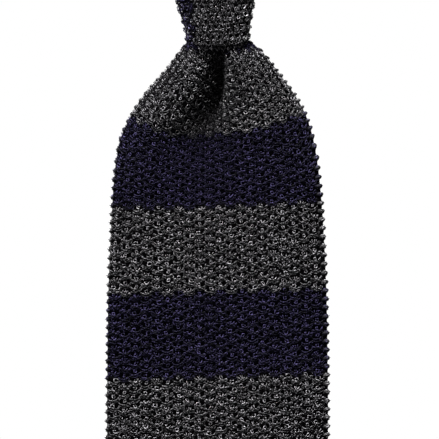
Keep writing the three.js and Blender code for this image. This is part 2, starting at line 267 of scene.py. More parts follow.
# Half the tail's width, and how far behind its own plane it lies to give way to the dimple
TAIL_FOLDS = Table(
    ("drop", "half_width", "back"),
    (
        (ENDS_FROM, 5.2, TAIL_BACK),
        (-4.0, 5.2, TAIL_BACK),
        (0.6, 6.2, 3.6),
        (2.6, 7.2, 5.3),
        (5.0, 8.5, 6.4),
        (8.5, 10.4, 6.9),
        (12.2, 11.6, 6.8),
        (16.0, 12.8, 6.2),
        (23.5, 14.6, 4.7),
        (35.0, 16.3, 2.0),
        (60.0, 17.6, 0.0),
        (150.0, 19.4, 0.0),
        (395.0, 22.5, 0.0),
    ),
)

# One end of the band from where it leaves the neck down into the knot, on the right side: x, y, z
# and half its width
BAND_END_ROUTE = (
    (26.0, -118.2, -40.5, 11.5),
    (12.9, ENDS_Y + 0.5, -47.2, 5.6),
    (7.4, ENDS_Y, -54.8, 4.2),
    (5.2, ENDS_Y, -65.0, 3.6),
    (4.6, ENDS_Y, MEETING_HEIGHT + CLEARANCE, 3.4),
)

# The blade's way up behind the knot, over its top and down inside the wrap: y, z, half its width
# and how far its edges stand up
PASSAGE_ROUTE = (
    (RISER_Y, -86.0, 7.2, 0.0),
    (RISER_Y, -72.0, 7.8, 0.0),
    (RISER_Y, -57.5, 8.0, 0.2),
    (RISER_Y - 1, -52.2, 7.6, 2.6),
    (RISER_Y - 4, -49.2, 7.1, 5.2),
    (PLUG_Y + 4, -49.2, 7.1, 5.2),
    (PLUG_Y + 1, -52.2, 7.4, 2.6),
    (PLUG_Y, -58.5, 8.0, 0.2),
    (PLUG_Y, -68.0, 7.0, 0.0),
    (PLUG_Y, MEETING_HEIGHT, 6.0, 0.0),
)


def linear_colour(code: str) -> tuple[float, float, float, float]:
    """Turns an sRGB hex colour such as #3a3a3d into linear red, green, blue and full alpha.

    Args:
        code: the colour with its leading hash.

    Returns:
        Linear red, green, blue and alpha.
    """
    shares = [int(code[i:i + 2], 16) / 255 for i in (1, 3, 5)]
    linear = [c / 12.92 if c <= 0.04045 else ((c + 0.055) / 1.055) ** 2.4 for c in shares]
    return linear[0], linear[1], linear[2], 1.0


def add_node(
    tree: bpy.types.NodeTree, kind: str, inputs: dict | None = None, **settings: object,
) -> bpy.types.Node:
    """Adds one node with its settings, values and links.

    Args:
        tree: the node tree that gets the node.
        kind: the node's type name.
        inputs: a value, a node or a node's output for each input, by its name or number. A node
            stands for its first output.
        settings: the node's own properties.

    Returns:
        The new node.
    """
    node = tree.nodes.new(kind)
    for name, value in settings.items():
        setattr(node, name, value)
    for key, value in (inputs or {}).items():
        if isinstance(value, bpy.types.Node):
            tree.links.new(value.outputs[0], node.inputs[key])
        elif isinstance(value, bpy.types.NodeSocket):
            tree.links.new(value, node.inputs[key])
        else:
            node.inputs[key].default_value = value
    return node


def unit(vectors: np.ndarray) -> np.ndarray:
    """Scales each vector to length one."""
    return vectors / np.maximum(np.linalg.norm(vectors, axis=-1, keepdims=True), 1e-9)


def lengths_along(route: np.ndarray) -> np.ndarray:
    """Length from the start of a route to each of its points."""
    return np.concatenate([[0.0], np.cumsum(np.linalg.norm(np.diff(route[:, :3], axis=0), axis=1))])


def read_at(wanted: np.ndarray, lengths: np.ndarray, points: np.ndarray) -> np.ndarray:
    """Points at the wanted lengths along a route, held at both of its ends."""
    return np.stack([np.interp(wanted, lengths, points[:, axis]) for axis in range(3)], axis=1)


def evenly_across(points: np.ndarray, count: int) -> np.ndarray:
    """Spreads each row's points evenly along the row's own length.

    Args:
        points: rows of points, rows by points by 3.
        count: number of points wanted in each row.

    Returns:
        Rows of evenly spaced points.
    """
    shares = np.linspace(0, 1, count)
    rows = []
    for row in points:
        lengths = lengths_along(row)
        rows.append(read_at(shares * lengths[-1], lengths, row))
    return np.array(rows)


def run_on(places: np.ndarray, keys: np.ndarray, values: np.ndarray) -> np.ndarray:
    """Interpolates rows of values, and runs on straight past both ends.

    Args:
        places: where values are wanted.
        keys: rising keys of the known rows.
        values: known rows, one for each key.

    Returns:
        One row for each place.
    """
    i = np.clip(np.searchsorted(keys, places) - 1, 0, len(keys) - 2)
    t = (places - keys[i]) / (keys[i + 1] - keys[i])
    t = t.reshape((-1,) + (1,) * (values.ndim - 1))
    return values[i] * (1 - t) + values[i + 1] * t


def smooth_route(corners: np.ndarray, steps: int) -> np.ndarray:
    """Runs a centripetal Catmull-Rom curve through rows of numbers, whose first three are x, y, z.

    Args:
        corners: the rows that the curve goes through.
        steps: number of steps from one row to the next.

    Returns:
        Rows along the curve, both ends included.
    """
    padded = np.vstack([2 * corners[0] - corners[1], corners, 2 * corners[-1] - corners[-2]])
    gaps = np.linalg.norm(np.diff(padded[:, :3], axis=0), axis=1) ** 0.5
    rows = []
    for i in range(1, len(padded) - 2):
        p0, p1, p2, p3 = padded[i - 1:i + 3]
        g0, g1, g2 = gaps[i - 1:i + 2]
        leave = ((p1 - p0) / g0 - (p2 - p0) / (g0 + g1) + (p2 - p1) / g1) * g1
        arrive = ((p2 - p1) / g1 - (p3 - p1) / (g1 + g2) + (p3 - p2) / g2) * g1
        for step in range(steps):
            t = step / steps
            cubic = 2 * p1 - 2 * p2 + leave + arrive
            square = 3 * p2 - 3 * p1 - 2 * leave - arrive
            rows.append(p1 + leave * t + square * t ** 2 + cubic * t ** 3)
    rows.append(corners[-1])
    return np.array(rows)


def knot_lean(height: np.ndarray) -> np.ndarray:
    """How far the knot leans to the left at a height."""
    return WRAP_OUTLINE.value("shift", height - KNOT_BOTTOM)


def grid_faces(index: np.ndarray) -> list[list[int]]:
    """Four-cornered faces between the corner numbers of a grid."""
    corners = [index[:-1, :-1], index[1:, :-1], index[1:, 1:], index[:-1, 1:]]
    return np.stack(corners, axis=-1).reshape(-1, 4).tolist()


def store(mesh: bpy.types.Mesh, name: str, values: np.ndarray, kind: str = "FLOAT") -> None:
    """Stores a value for each point of a mesh as an attribute.

    Args:
        mesh: the mesh.
        name: the attribute's name.
        values: a number or, for the kind FLOAT_VECTOR, a vector for each point.
        kind: the attribute's data type.
    """
    attribute = mesh.attributes.new(name, kind, "POINT")
    part = "vector" if kind == "FLOAT_VECTOR" else "value"
    attribute.data.foreach_set(part, np.asarray(values, np.float32).ravel())


def new_piece(name: str, mesh: bpy.types.Mesh) -> bpy.types.Object:
    """Puts a finished mesh in the scene as a piece and logs it.

    Args:
        name: the piece's name.
        mesh: its mesh, in metres in the shared frame.

    Returns:
        The piece.
    """
    mesh.name = name
    piece = bpy.data.objects.new(name, mesh)
    bpy.context.scene.collection.objects.link(piece)
    mesh.calc_loop_triangles()
    LOG.info("%s: %d triangles", name, len(mesh.loop_triangles))
    return piece


@dataclass(frozen=True)
class SilkYarn:
    """Finish of the outer loops: twisted, dyed silk yarn.

    Along each strand its colour runs in short dashes from black to its crest colour: partly the twisted
    plies' own texture, partly painted glints on the crests and painted shade in the grooves. No two
    loops are quite alike in tone.
    """

    name: str
    crest: str
    specular: float
    groove: str = "#000000"
    roughness: float = 0.35
    dull_roughness: float = 0.8
    ply_pitch: float = 0.4
    # Values of the noise up to which a strand is all groove, and from which it is all crest
    dark_below: float = 0.495
    bright_above: float = 0.58

    def material(self) -> bpy.types.Material:
        """Builds the yarn's material.

        Returns:
            A material whose pattern follows object coordinates and the loops' own attributes.
        """
        made = bpy.data.materials.new(self.name)
        made.use_nodes = True
        tree = made.node_tree
        shader = tree.nodes["Principled BSDF"]
        shader.inputs["Specular IOR Level"].default_value = self.specular
        place = add_node(tree, "ShaderNodeTexCoord")
        # One noise cell is one turn of the two plies; its light and dark dashes are partly texture and
        # partly painted glints and painted groove shade
        plies = add_node(tree, "ShaderNodeTexNoise", {
            "Vector": place.outputs["Object"], "Scale": 1 / (self.ply_pitch * MM), "Detail": 1.0,
        })
        contrast = add_node(tree, "ShaderNodeMapRange", {
            "Value": plies.outputs["Fac"], "From Min": self.dark_below, "From Max": self.bright_above,
        })
        loop = add_node(tree, "ShaderNodeAttribute", attribute_name="shade").outputs["Fac"]
        strand = add_node(tree, "ShaderNodeAttribute", attribute_name="lustre").outputs["Fac"]
        both = add_node(tree, "ShaderNodeMath", {0: contrast, 1: loop}, operation="MULTIPLY")
        share = add_node(tree, "ShaderNodeMath", {0: both, 1: strand}, operation="MULTIPLY")
        colour = add_node(tree, "ShaderNodeMix", {
            0: share, 6: linear_colour(self.groove), 7: linear_colour(self.crest),
        }, data_type="RGBA")
        tree.links.new(colour.outputs[2], shader.inputs["Base Color"])
        # Strands below the top of the cloth, darker by painted shade, are duller as well
        dull = add_node(tree, "ShaderNodeMapRange", {
            "Value": strand, "To Min": self.dull_roughness, "To Max": self.roughness,
        })
        tree.links.new(dull.outputs["Result"], shader.inputs["Roughness"])
        return made


@dataclass(frozen=True)
class InnerLoops:
    """Finish of the cloth under the outer loops: the same silk, knitted, coloured near black as painted
    shade for their shadow.
    """

    name: str
    # Both stripe colours are darkened to near black: painted shade
    charcoal: str
    navy: str
    roughness: float = 0.9
    yarn_thickness: float = 0.5
    bump: float = 0.4
    bump_height: float = 0.2

    def material(self) -> bpy.types.Material:
        """Builds the inner cloth's material, striped by the cloth's own attribute.

        Returns:
            The material.
        """
        made = bpy.data.materials.new(self.name)
        made.use_nodes = True
        tree = made.node_tree
        shader = tree.nodes["Principled BSDF"]
        shader.inputs["Roughness"].default_value = self.roughness
        shader.inputs["Specular IOR Level"].default_value = 0.0
        place = add_node(tree, "ShaderNodeTexCoord")
        # Inner loops are as fine as the yarn is thick
        loops = add_node(tree, "ShaderNodeTexVoronoi", {
            "Vector": place.outputs["Object"], "Scale": 1 / (self.yarn_thickness * MM),
        }).outputs["Distance"]
        stripe = add_node(tree, "ShaderNodeAttribute", attribute_name="stripe")
        colour = add_node(tree, "ShaderNodeMix", {
            0: stripe.outputs["Fac"], 6: linear_colour(self.charcoal), 7: linear_colour(self.navy),
        }, data_type="RGBA")
        # Painted shade: the colour darkens to black between the inner loops
        shaded = add_node(tree, "ShaderNodeMix", {
            0: loops, 6: colour.outputs[2], 7: linear_colour("#000000"),
        }, data_type="RGBA")
        tree.links.new(shaded.outputs[2], shader.inputs["Base Color"])
        bump = add_node(tree, "ShaderNodeBump", {
            "Height": loops, "Strength": self.bump, "Distance": self.bump_height * MM,
        })
        tree.links.new(bump.outputs["Normal"], shader.inputs["Normal"])
        return made


@dataclass
class StitchForms:
    """The loops that the knit repeats, each a small mesh of a few strands.

    A loop lies flat around its own middle: x to the right, y up the cloth, z out of it. A strand's
    painted light scales its colour: about 1 or more on top of the cloth, a painted highlight, and less
    below, painted shade for the strands that lie deeper.
    """

    seed: int = 10
    # What shows on top of the fine loops, and how many of each there are
    tops: tuple[tuple[LoopTop, int], ...] = ((LoopTop.EYE, 9), (LoopTop.HOOK, 3), (LoopTop.FAN, 2))
    plain_forms: int = 5
    edge_forms: int = 6
    half: float = COLUMN_PITCH / 2
    # Radii of the strands, and the painted light of those on top, a painted highlight
    body_radius: float = 0.15
    eye_radius: float = 0.16
    leg_radius: float = 0.14
    end_radius: float = 0.13
    top_lustre: float = 1.8
    plain_eye_radius: float = 0.24
    plain_radius: float = 0.36
    core_radius: float = 0.66
    edge_radius: float = 0.2
    chain_radius: float = 0.3
    collections: dict[Detail, bpy.types.Collection] = field(init=False)
    cast_off: bpy.types.Collection = field(init=False)

    def __post_init__(self) -> None:
        """Makes the collections of loops that the knit picks from."""
        rolls = np.random.default_rng(self.seed)
        fine = [self.fine_loop(rolls, top) for top, count in self.tops for _ in range(count)]
        plain = [self.plain_loop(rolls) for _ in range(self.plain_forms)]
        edge = [self.edge_loop(rolls) for _ in range(self.edge_forms)]
        self.collections = {
            Detail.FINE: self.collect("fine_loops", fine),
            Detail.PLAIN: self.collect("plain_loops", plain),
            Detail.EDGE: self.collect("edge_loops", edge, smooth=True),
        }
        self.cast_off = self.collect("cast_off_loops", [self.cast_off_loop()])

    @staticmethod
    def strand(
        points: list, radius: float, steps: int = 0, ring: bool = False, lustre: float = 1.0,
        twist: float = 0.25, sides: int = 3,
    ) -> Strand:
        """Sweeps a strand of twisted yarn along points.

        Args:
            points: the points that its middle follows, in millimetres.
            radius: its radius.
            steps: number of points after easing, or 0 to keep the points given.
            ring: whether it closes on itself.
            lustre: a factor on its colour, above 1 a painted highlight and below 1 painted shade.
            twist: how much it swells and thins from ply to ply, and its painted light rises and falls
                with it.
            sides: number of its sides.

        Returns:
            Its corners, faces and the painted light of each corner.
        """
        route = np.array(points, float)
        if steps:
            route = smooth_route(route, max(1, math.ceil(4 * steps / len(route))))
            route = route[np.linspace(0, len(route) - 1, steps).round().astype(int)]
        count = len(route)
        if ring:
            along = np.roll(route, -1, axis=0) - np.roll(route, 1, axis=0)
        else:
            along = np.gradient(route, axis=0)
        along = unit(along)
        side = unit(np.cross(along, (0.0, 0.0, 1.0)) + (1e-6, 0.0, 0.0))
        rise = np.cross(side, along)
        plies = 1 + twist * (np.arange(count) % 2 * 2 - 1)
        angles = (2 * np.pi * np.arange(sides) / sides + np.pi / 2)[None, :, None]
        spread = np.cos(angles) * side[:, None] + np.sin(angles) * rise[:, None]
        corners = (route[:, None] + (radius * plies)[:, None, None] * spread).reshape(-1, 3)
        faces = []
        for i in range(count if ring else count - 1):
            j = (i + 1) % count
            for k in range(sides):
                after = (k + 1) % sides
                faces.append((i * sides + k, i * sides + after, j * sides + after, j * sides + k))
        if not ring:
            faces.append(tuple(reversed(range(sides))))
            faces.append(tuple(range((count - 1) * sides, count * sides)))
        return corners, faces, np.repeat(lustre * plies, sides)

    def fine_loop(self, rolls: np.random.Generator, top: LoopTop) -> list[Strand]:
        """Draws one loop strand by strand.

        Args:
            rolls: source of the small differences between loops.
            top: what shows on top of it.

        Returns:
            Its strands.
        """
        def off(spread: float) -> float:
            """Draws one small difference."""
            return float(rolls.normal(0, spread))

        tops = {LoopTop.EYE: self.eye, LoopTop.HOOK: self.hook, LoopTop.FAN: self.fan}
        return self.body(off) + tops[top](off) + self.short_ends(off)

    def body(self, off: Callable[[float], float]) -> list[Strand]:
        """Draws the body of a fine loop, three sagging strands that fill its cell.

        Args:
            off: draws a small difference of a given spread.

        Returns:
            The strands.
        """
        strands = []
        # Painted shade: the lower strands of the body, which lie deeper, get less painted light
        for low, reach, height, lustre, twist in (
            (-0.35, 1.8, 0.35, 0.6, 0.5),
            (-0.8, 1.85, 0.25, 0.5, -0.5),
            (-1.3, 1.85, 0.15, 0.45, 0.5),
        ):
            sag = [
                (-reach, low + 0.85 + off(0.2), height),
                (-0.55 * reach + off(0.12), low + 0.22 + off(0.12), height + off(0.1)),
                (off(0.12), low + off(0.08), height + 0.05),
                (0.55 * reach + off(0.12), low + 0.22 + off(0.12), height + off(0.1)),
                (reach, low + 0.85 + off(0.2), height),
            ]
            strands.append(self.strand(sag, self.body_radius, steps=7, lustre=lustre, twist=twist))
        return strands

    def eye(self, off: Callable[[float], float]) -> list[Strand]:
        """Draws the small ring on top of most fine loops.

        Args:
            off: draws a small difference of a given spread.

        Returns:
            Its one strand.
        """
        turn = np.linspace(0, 2 * np.pi, 9, endpoint=False) + 0.3
        skew = off(0.3)
        x = off(0.3) + (0.62 + off(0.1)) * np.cos(turn + skew)
        y = 0.4 + off(0.2) + (0.5 + off(0.07)) * np.sin(turn)
        z = 0.66 - 0.25 * np.sin(turn) + off(0.2) * np.cos(turn)
        ring = np.stack([x, y, z], axis=1)
        return [self.strand(ring, self.eye_radius, ring=True, lustre=self.top_lustre, twist=0.5)]

    def hook(self, off: Callable[[float], float]) -> list[Strand]:
        """Draws the open hook on top of some fine loops, and the end of yarn inside it.

        Args:
            off: draws a small difference of a given spread.

        Returns:
            Both strands.
        """
        bend = [
            (-0.75 + off(0.12), 0.95 + off(0.15), 0.4),
            (-0.62 + off(0.1), 0.35 + off(0.1), 0.65),
            (off(0.15), -0.1 + off(0.1), 0.85),
            (0.62 + off(0.1), 0.35 + off(0.1), 0.65),
            (0.75 + off(0.12), 0.9 + off(0.15), 0.4),
        ]
        inside = [(off(0.2), 0.95, 0.3), (off(0.2), 0.55, 0.6)]
        return [
            self.strand(bend, self.body_radius, steps=8, lustre=self.top_lustre, twist=0.5),
            self.strand(inside, self.eye_radius, lustre=1.2),
        ]

    def fan(self, off: Callable[[float], float]) -> list[Strand]:
        """Draws the three spread legs on top of some fine loops.

        Args:
            off: draws a small difference of a given spread.

        Returns:
            The legs.
        """
        legs = []
        for x in (-0.75, -0.05, 0.65):
            top = 0.85 + off(0.15)
            leg = [
                (1.2 * x + off(0.1), top, 0.35),
                (x + off(0.08), 0.4 + off(0.1), 0.75 + off(0.1)),
                (0.8 * x, -0.1 + off(0.1), 0.6),
            ]
            legs.append(self.strand(leg, self.leg_radius, lustre=self.top_lustre, twist=0.3))
        return legs

    def short_ends(self, off: Callable[[float], float]) -> list[Strand]:
        """Draws the short ends of strands that surface between fine loops.

        Args:
            off: draws a small difference of a given spread.

        Returns:
            The ends.
        """
        ends = []
        for x, y in ((-self.half, 0.35), (self.half, 0.35), (-0.45, -0.55), (0.5, -0.55)):
            start = (x + off(0.25), y + off(0.35), 0.5 + off(0.08))
            end = (start[0] + off(0.25), start[1] - 0.35 + off(0.1), start[2] - 0.1)
            ends.append(self.strand([start, end], self.end_radius, lustre=1.6))
        return ends

    def plain_loop(self, rolls: np.random.Generator) -> list[Strand]:
        """Draws one loop in few faces: its eye and the strand below.

        Args:
            rolls: source of the small differences between loops.

        Returns:
            Its strands.
        """
        turn = np.linspace(0, 2 * np.pi, 6, endpoint=False)
        x = rolls.normal(0, 0.15) + 0.72 * np.cos(turn)
        y = 0.45 + rolls.normal(0, 0.1) + 0.55 * np.sin(turn)
        z = 0.5 - 0.3 * np.sin(turn)
        ring = np.stack([x, y, z], axis=1)
        eye = self.strand(ring, self.plain_eye_radius, ring=True, lustre=1.3)
        sag = [(-self.half - 0.1, 0.3, -0.1), (0.0, -0.65, 0.25), (self.half + 0.1, 0.3, -0.1)]
        return [eye, self.strand(sag, self.plain_radius, lustre=0.9)]

    def edge_loop(self, rolls: np.random.Generator) -> list[Strand]:
        """Draws the rounded bundle of strands that turns over the edge of the tube.

        Args:
            rolls: source of the small differences between loops.

        Returns:
            Its strands.
        """
        half = self.half
        swell = rolls.uniform(-0.15, 0.15)
        core = [
            (-half, 0.0, -0.55),
            (-0.6 * half, 0.05, -0.1 + swell),
            (0.0, 0.1, swell),
            (0.6 * half, 0.05, -0.1 + swell),
            (half, 0.0, -0.55),
        ]
        # Painted shade: the core under the strands gets little painted light
        strands = [self.strand(core, self.core_radius, lustre=0.15, twist=0.0, sides=6)]
        for y, height in ((0.6, 0.12), (0.1, 0.45), (-0.42, 0.14)):
            slant = rolls.normal(0, 0.12)
            top = height + swell + rolls.normal(0, 0.04)
            span = [
                (-0.9 * half, 0.7 * y + slant, top - 0.5),
                (-0.45 * half, y + slant, top - 0.05),
                (0.0, y + 0.1, top),
                (0.45 * half, y - slant, top - 0.05),
                (0.9 * half, 0.7 * y - slant, top - 0.5),
            ]
            strands.append(self.strand(span, self.edge_radius, lustre=1.2, twist=0.5))
        return strands

    def cast_off_loop(self) -> list[Strand]:
        """Draws one link of the chain that closes the square ends.

        Returns:
            Its one strand.
        """
        turn = np.linspace(0, 2 * np.pi, 10, endpoint=False)
        x = 2.1 * np.cos(turn)
        y = 0.3 + 0.75 * np.sin(turn)
        z = 0.3 + 0.25 * np.cos(turn)
        return [self.strand(np.stack([x, y, z], axis=1), self.chain_radius, ring=True, sides=4)]

    @staticmethod
    def collect(name: str, loops: list[list[Strand]], smooth: bool = False) -> bpy.types.Collection:
        """Makes a collection that holds each loop as a mesh object.

        Args:
            name: the collection's name.
            loops: the strands of each loop.
            smooth: whether they are shaded smooth.

        Returns:
            The collection.
        """
        collection = bpy.data.collections.new(name)
        for number, strands in enumerate(loops):
            corners, faces, painted_lights = [], [], []
            for points, sides, lustre in strands:
                base = sum(len(part) for part in corners)
                corners.append(points)
                painted_lights.append(lustre)
                faces += [tuple(base + corner for corner in face) for face in sides]
            mesh = bpy.data.meshes.new(f"{name}_{number}")
            places = (np.concatenate(corners) * MM).tolist()
            mesh.from_pydata(places, [], faces, shade_flat=not smooth)
            store(mesh, "lustre", np.concatenate(painted_lights))
            collection.objects.link(bpy.data.objects.new(mesh.name, mesh))
        return collection

    def discard(self) -> None:
        """Removes the loops once the knit holds its own copies."""
        for collection in [*self.collections.values(), self.cast_off]:
            for loop in list(collection.objects):
                mesh = loop.data
                bpy.data.objects.remove(loop)
                bpy.data.meshes.remove(mesh)
            bpy.data.collections.remove(collection)


@dataclass
class KnitField:
    """The geometry nodes that cover a stretch of cloth with loops.

    Loops are set out in rows and columns on a flat sheet, every second column half a row lower, as
    in the real knit, and the sheet is then laid on the stretch's own surface by its UV map.
    """

    # How far a loop may lie off its place and turn, in millimetres and radians, how much smaller or
    # larger it may be, and the share of the light that the dullest one takes
    unevenness: float = 0.09
    lean: float = 0.12
    smallest: float = 0.95
    largest: float = 1.05
    least_lit: float = 0.75
    same_within: float = 0.3  # how near a stripe or detail number has to be to count as the same
    tree: bpy.types.NodeTree = field(init=False)

    def __post_init__(self) -> None:
        """Builds the node tree: its inputs, flat points, loops on them and the lay."""
        self.tree = bpy.data.node_groups.new("knit_loops", "GeometryNodeTree")
        face = self.tree.interface
        face.new_socket("Surface", in_out="INPUT", socket_type="NodeSocketGeometry")
        for name, kind, value in (
            ("Loops", "NodeSocketCollection", None),
            ("Number Of Loops", "NodeSocketInt", 1),
            ("Columns", "NodeSocketInt", 20),
            ("Rows", "NodeSocketInt", 10),
            ("First Row", "NodeSocketInt", 0),
            ("Rows Used", "NodeSocketInt", 10),
            ("Column Pitch", "NodeSocketFloat", COLUMN_PITCH * MM),
            ("Row Pitch", "NodeSocketFloat", ROW_PITCH * MM),
            ("Half Drop", "NodeSocketFloat", 0.5),
            ("Stripe", "NodeSocketFloat", 0.0),
            ("Detail", "NodeSocketFloat", 1.0),
            ("Unevenness", "NodeSocketFloat", self.unevenness * MM),
            ("Seed", "NodeSocketInt", 7),
            ("Yarn", "NodeSocketMaterial", None),
        ):
            socket = face.new_socket(name, in_out="INPUT", socket_type=kind)
            if value is not None:
                socket.default_value = value
        face.new_socket("Knit", in_out="OUTPUT", socket_type="NodeSocketGeometry")
        given = add_node(self.tree, "NodeGroupInput").outputs
        laid = self.lay(given, self.flat_loops(given, self.flat_points(given)))
        dyed = add_node(self.tree, "GeometryNodeSetMaterial", {
            "Geometry": laid, "Material": given["Yarn"],
        })
        add_node(self.tree, "NodeGroupOutput", {"Knit": dyed})

    def sample(
        self, given: bpy.types.NodeOutputs, uv: bpy.types.NodeSocket, name: str, kind: str,
    ) -> bpy.types.NodeSocket:
        """Reads one of the surface's attributes at a place of its UV map.

        Args:
            given: outputs of the group's input node.
            uv: the place.
            name: the attribute, or an empty name for the surface's own position.
            kind: the attribute's data type.

        Returns:
            The value read.
        """
        tree = self.tree
        if name:
            value = add_node(tree, "GeometryNodeInputNamedAttribute", {"Name": name}, data_type=kind)
        else:
            value = add_node(tree, "GeometryNodeInputPosition")
        places = add_node(tree, "GeometryNodeInputNamedAttribute", {
            "Name": "UVMap",
        }, data_type="FLOAT_VECTOR")
        read = add_node(tree, "GeometryNodeSampleUVSurface", {
            "Mesh": given["Surface"], "Value": value, "UV Map": places, "Sample UV": uv,
        }, data_type=kind)
        return read.outputs["Value"]

    def flat_points(self, given: bpy.types.NodeOutputs) -> bpy.types.Node:
        """Sets out the middles of the wanted loops on the flat sheet.

        Args:
            given: outputs of the group's input node.

        Returns:
            The node that gives the points.
        """
        tree = self.tree
        columns = given["Columns"]
        index = add_node(tree, "GeometryNodeInputIndex")
        column = add_node(tree, "ShaderNodeMath", {0: index, 1: columns}, operation="FLOORED_MODULO")
        whole = add_node(tree, "ShaderNodeMath", {0: index, 1: columns}, operation="DIVIDE")
        course = add_node(tree, "ShaderNodeMath", {0: whole}, operation="FLOOR")
        row = add_node(tree, "ShaderNodeMath", {0: course, 1: given["First Row"]}, operation="ADD")
        odd = add_node(tree, "ShaderNodeMath", {0: column, 1: 2.0}, operation="FLOORED_MODULO")
        shift = add_node(tree, "ShaderNodeMath", {
            0: odd, 1: given["Half Drop"], 2: 0.5,
        }, operation="MULTIPLY_ADD")
        level = add_node(tree, "ShaderNodeMath", {0: row, 1: shift}, operation="ADD")
        middle = add_node(tree, "ShaderNodeMath", {0: column, 1: 0.5}, operation="ADD")
        u = add_node(tree, "ShaderNodeMath", {0: middle, 1: columns}, operation="DIVIDE")
        v = add_node(tree, "ShaderNodeMath", {0: level, 1: given["Rows"]}, operation="DIVIDE")
        uv = add_node(tree, "ShaderNodeCombineXYZ", {"X": u, "Y": v}).outputs[0]
        x = add_node(tree, "ShaderNodeMath", {
            0: middle, 1: given["Column Pitch"],
        }, operation="MULTIPLY")
        down = add_node(tree, "ShaderNodeMath", {0: level, 1: given["Row Pitch"]}, operation="MULTIPLY")
        y = add_node(tree, "ShaderNodeMath", {0: down, 1: -1.0}, operation="MULTIPLY")
        flat = add_node(tree, "ShaderNodeCombineXYZ", {"X": x, "Y": y})
        count = add_node(tree, "ShaderNodeMath", {
            0: columns, 1: given["Rows Used"],
        }, operation="MULTIPLY")
        points = add_node(tree, "GeometryNodePoints", {"Count": count, "Position": flat})
        # Whether a loop is wanted here has to be read before any loop is dropped, by its number
        same_stripe = add_node(tree, "ShaderNodeMath", {
            0: self.sample(given, uv, "stripe", "FLOAT"), 1: given["Stripe"], 2: self.same_within,
        }, operation="COMPARE")
        same_detail = add_node(tree, "ShaderNodeMath", {
            0: self.sample(given, uv, "detail", "FLOAT"), 1: given["Detail"], 2: self.same_within,
        }, operation="COMPARE")
        wanted = add_node(tree, "ShaderNodeMath", {0: same_stripe, 1: same_detail}, operation="MULTIPLY")
        dropped = add_node(tree, "ShaderNodeMath", {0: 1.0, 1: wanted}, operation="SUBTRACT")
        return add_node(tree, "GeometryNodeDeleteGeometry", {
            "Geometry": points, "Selection": dropped,
        }, domain="POINT")

    def flat_loops(self, given: bpy.types.NodeOutputs, points: bpy.types.Node) -> bpy.types.Node:
        """Puts a loop on each point, a little off its place, and no two of them quite alike.

        Args:
            given: outputs of the group's input node.
            points: the node that gives the points.

        Returns:
            The node that gives the realized loops.
        """
        tree = self.tree
        seed = given["Seed"]
        uneven = given["Unevenness"]
        minus = add_node(tree, "ShaderNodeMath", {0: uneven, 1: -1.0}, operation="MULTIPLY")
        low = add_node(tree, "ShaderNodeCombineXYZ", {"X": minus, "Y": minus})
        high = add_node(tree, "ShaderNodeCombineXYZ", {"X": uneven, "Y": uneven})
        nudge = add_node(tree, "FunctionNodeRandomValue", {
            0: low, 1: high, "Seed": seed,
        }, data_type="FLOAT_VECTOR")
        nudged = add_node(tree, "GeometryNodeSetPosition", {"Geometry": points, "Offset": nudge})
        forms = add_node(tree, "GeometryNodeCollectionInfo", {
            "Collection": given["Loops"], "Separate Children": True, "Reset Children": True,
        })
        last = add_node(tree, "ShaderNodeMath", {
            0: given["Number Of Loops"], 1: 1.0,
        }, operation="SUBTRACT")
        pick = add_node(tree, "FunctionNodeRandomValue", {4: 0, 5: last, "Seed": seed}, data_type="INT")
        lean = add_node(tree, "FunctionNodeRandomValue", {
            0: (0.0, 0.0, -self.lean), 1: (0.0, 0.0, self.lean), "Seed": seed,
        }, data_type="FLOAT_VECTOR")
        size = add_node(tree, "FunctionNodeRandomValue", {
            0: (self.smallest,) * 3, 1: (self.largest,) * 3, "Seed": seed,
        }, data_type="FLOAT_VECTOR")
        placed = add_node(tree, "GeometryNodeInstanceOnPoints", {
            "Points": nudged, "Instance": forms, "Pick Instance": True,
            "Instance Index": pick.outputs[2], "Rotation": lean, "Scale": size,
        })
        # Painted shade read from the surface darkens each loop, and within that its tone varies at
        # random
        pressed = self.sample(given, self.place_uv(given), "pressed", "FLOAT")
        most = add_node(tree, "ShaderNodeMath", {0: 1.0, 1: pressed}, operation="SUBTRACT")
        least = add_node(tree, "ShaderNodeMath", {0: most, 1: self.least_lit}, operation="MULTIPLY")
        shade = add_node(tree, "FunctionNodeRandomValue", {
            2: least, 3: most, "Seed": seed,
        }, data_type="FLOAT")
        shaded = add_node(tree, "GeometryNodeStoreNamedAttribute", {
            "Geometry": placed, "Name": "shade", "Value": shade.outputs[1],
        }, data_type="FLOAT", domain="INSTANCE")
        return add_node(tree, "GeometryNodeRealizeInstances", {"Geometry": shaded})

    def lay(self, given: bpy.types.NodeOutputs, loops: bpy.types.Node) -> bpy.types.Node:
        """Lays the flat loops on the surface.

        Args:
            given: outputs of the group's input node.
            loops: the node that gives the realized loops.

        Returns:
            The node that gives the laid loops.
        """
        tree = self.tree
        place = add_node(tree, "GeometryNodeInputPosition")
        parts = add_node(tree, "ShaderNodeSeparateXYZ", {0: place}).outputs
        uv = self.place_uv(given)
        ground = self.sample(given, uv, "", "FLOAT_VECTOR")
        outward = self.sample(given, uv, "outward", "FLOAT_VECTOR")
        relief = self.sample(given, uv, "relief", "FLOAT")
        height = add_node(tree, "ShaderNodeMath", {0: parts["Z"], 1: relief}, operation="MULTIPLY")
        raised = add_node(tree, "ShaderNodeVectorMath", {0: outward, "Scale": height}, operation="SCALE")
        spot = add_node(tree, "ShaderNodeVectorMath", {0: ground, 1: raised}, operation="ADD")
        return add_node(tree, "GeometryNodeSetPosition", {"Geometry": loops, "Position": spot})

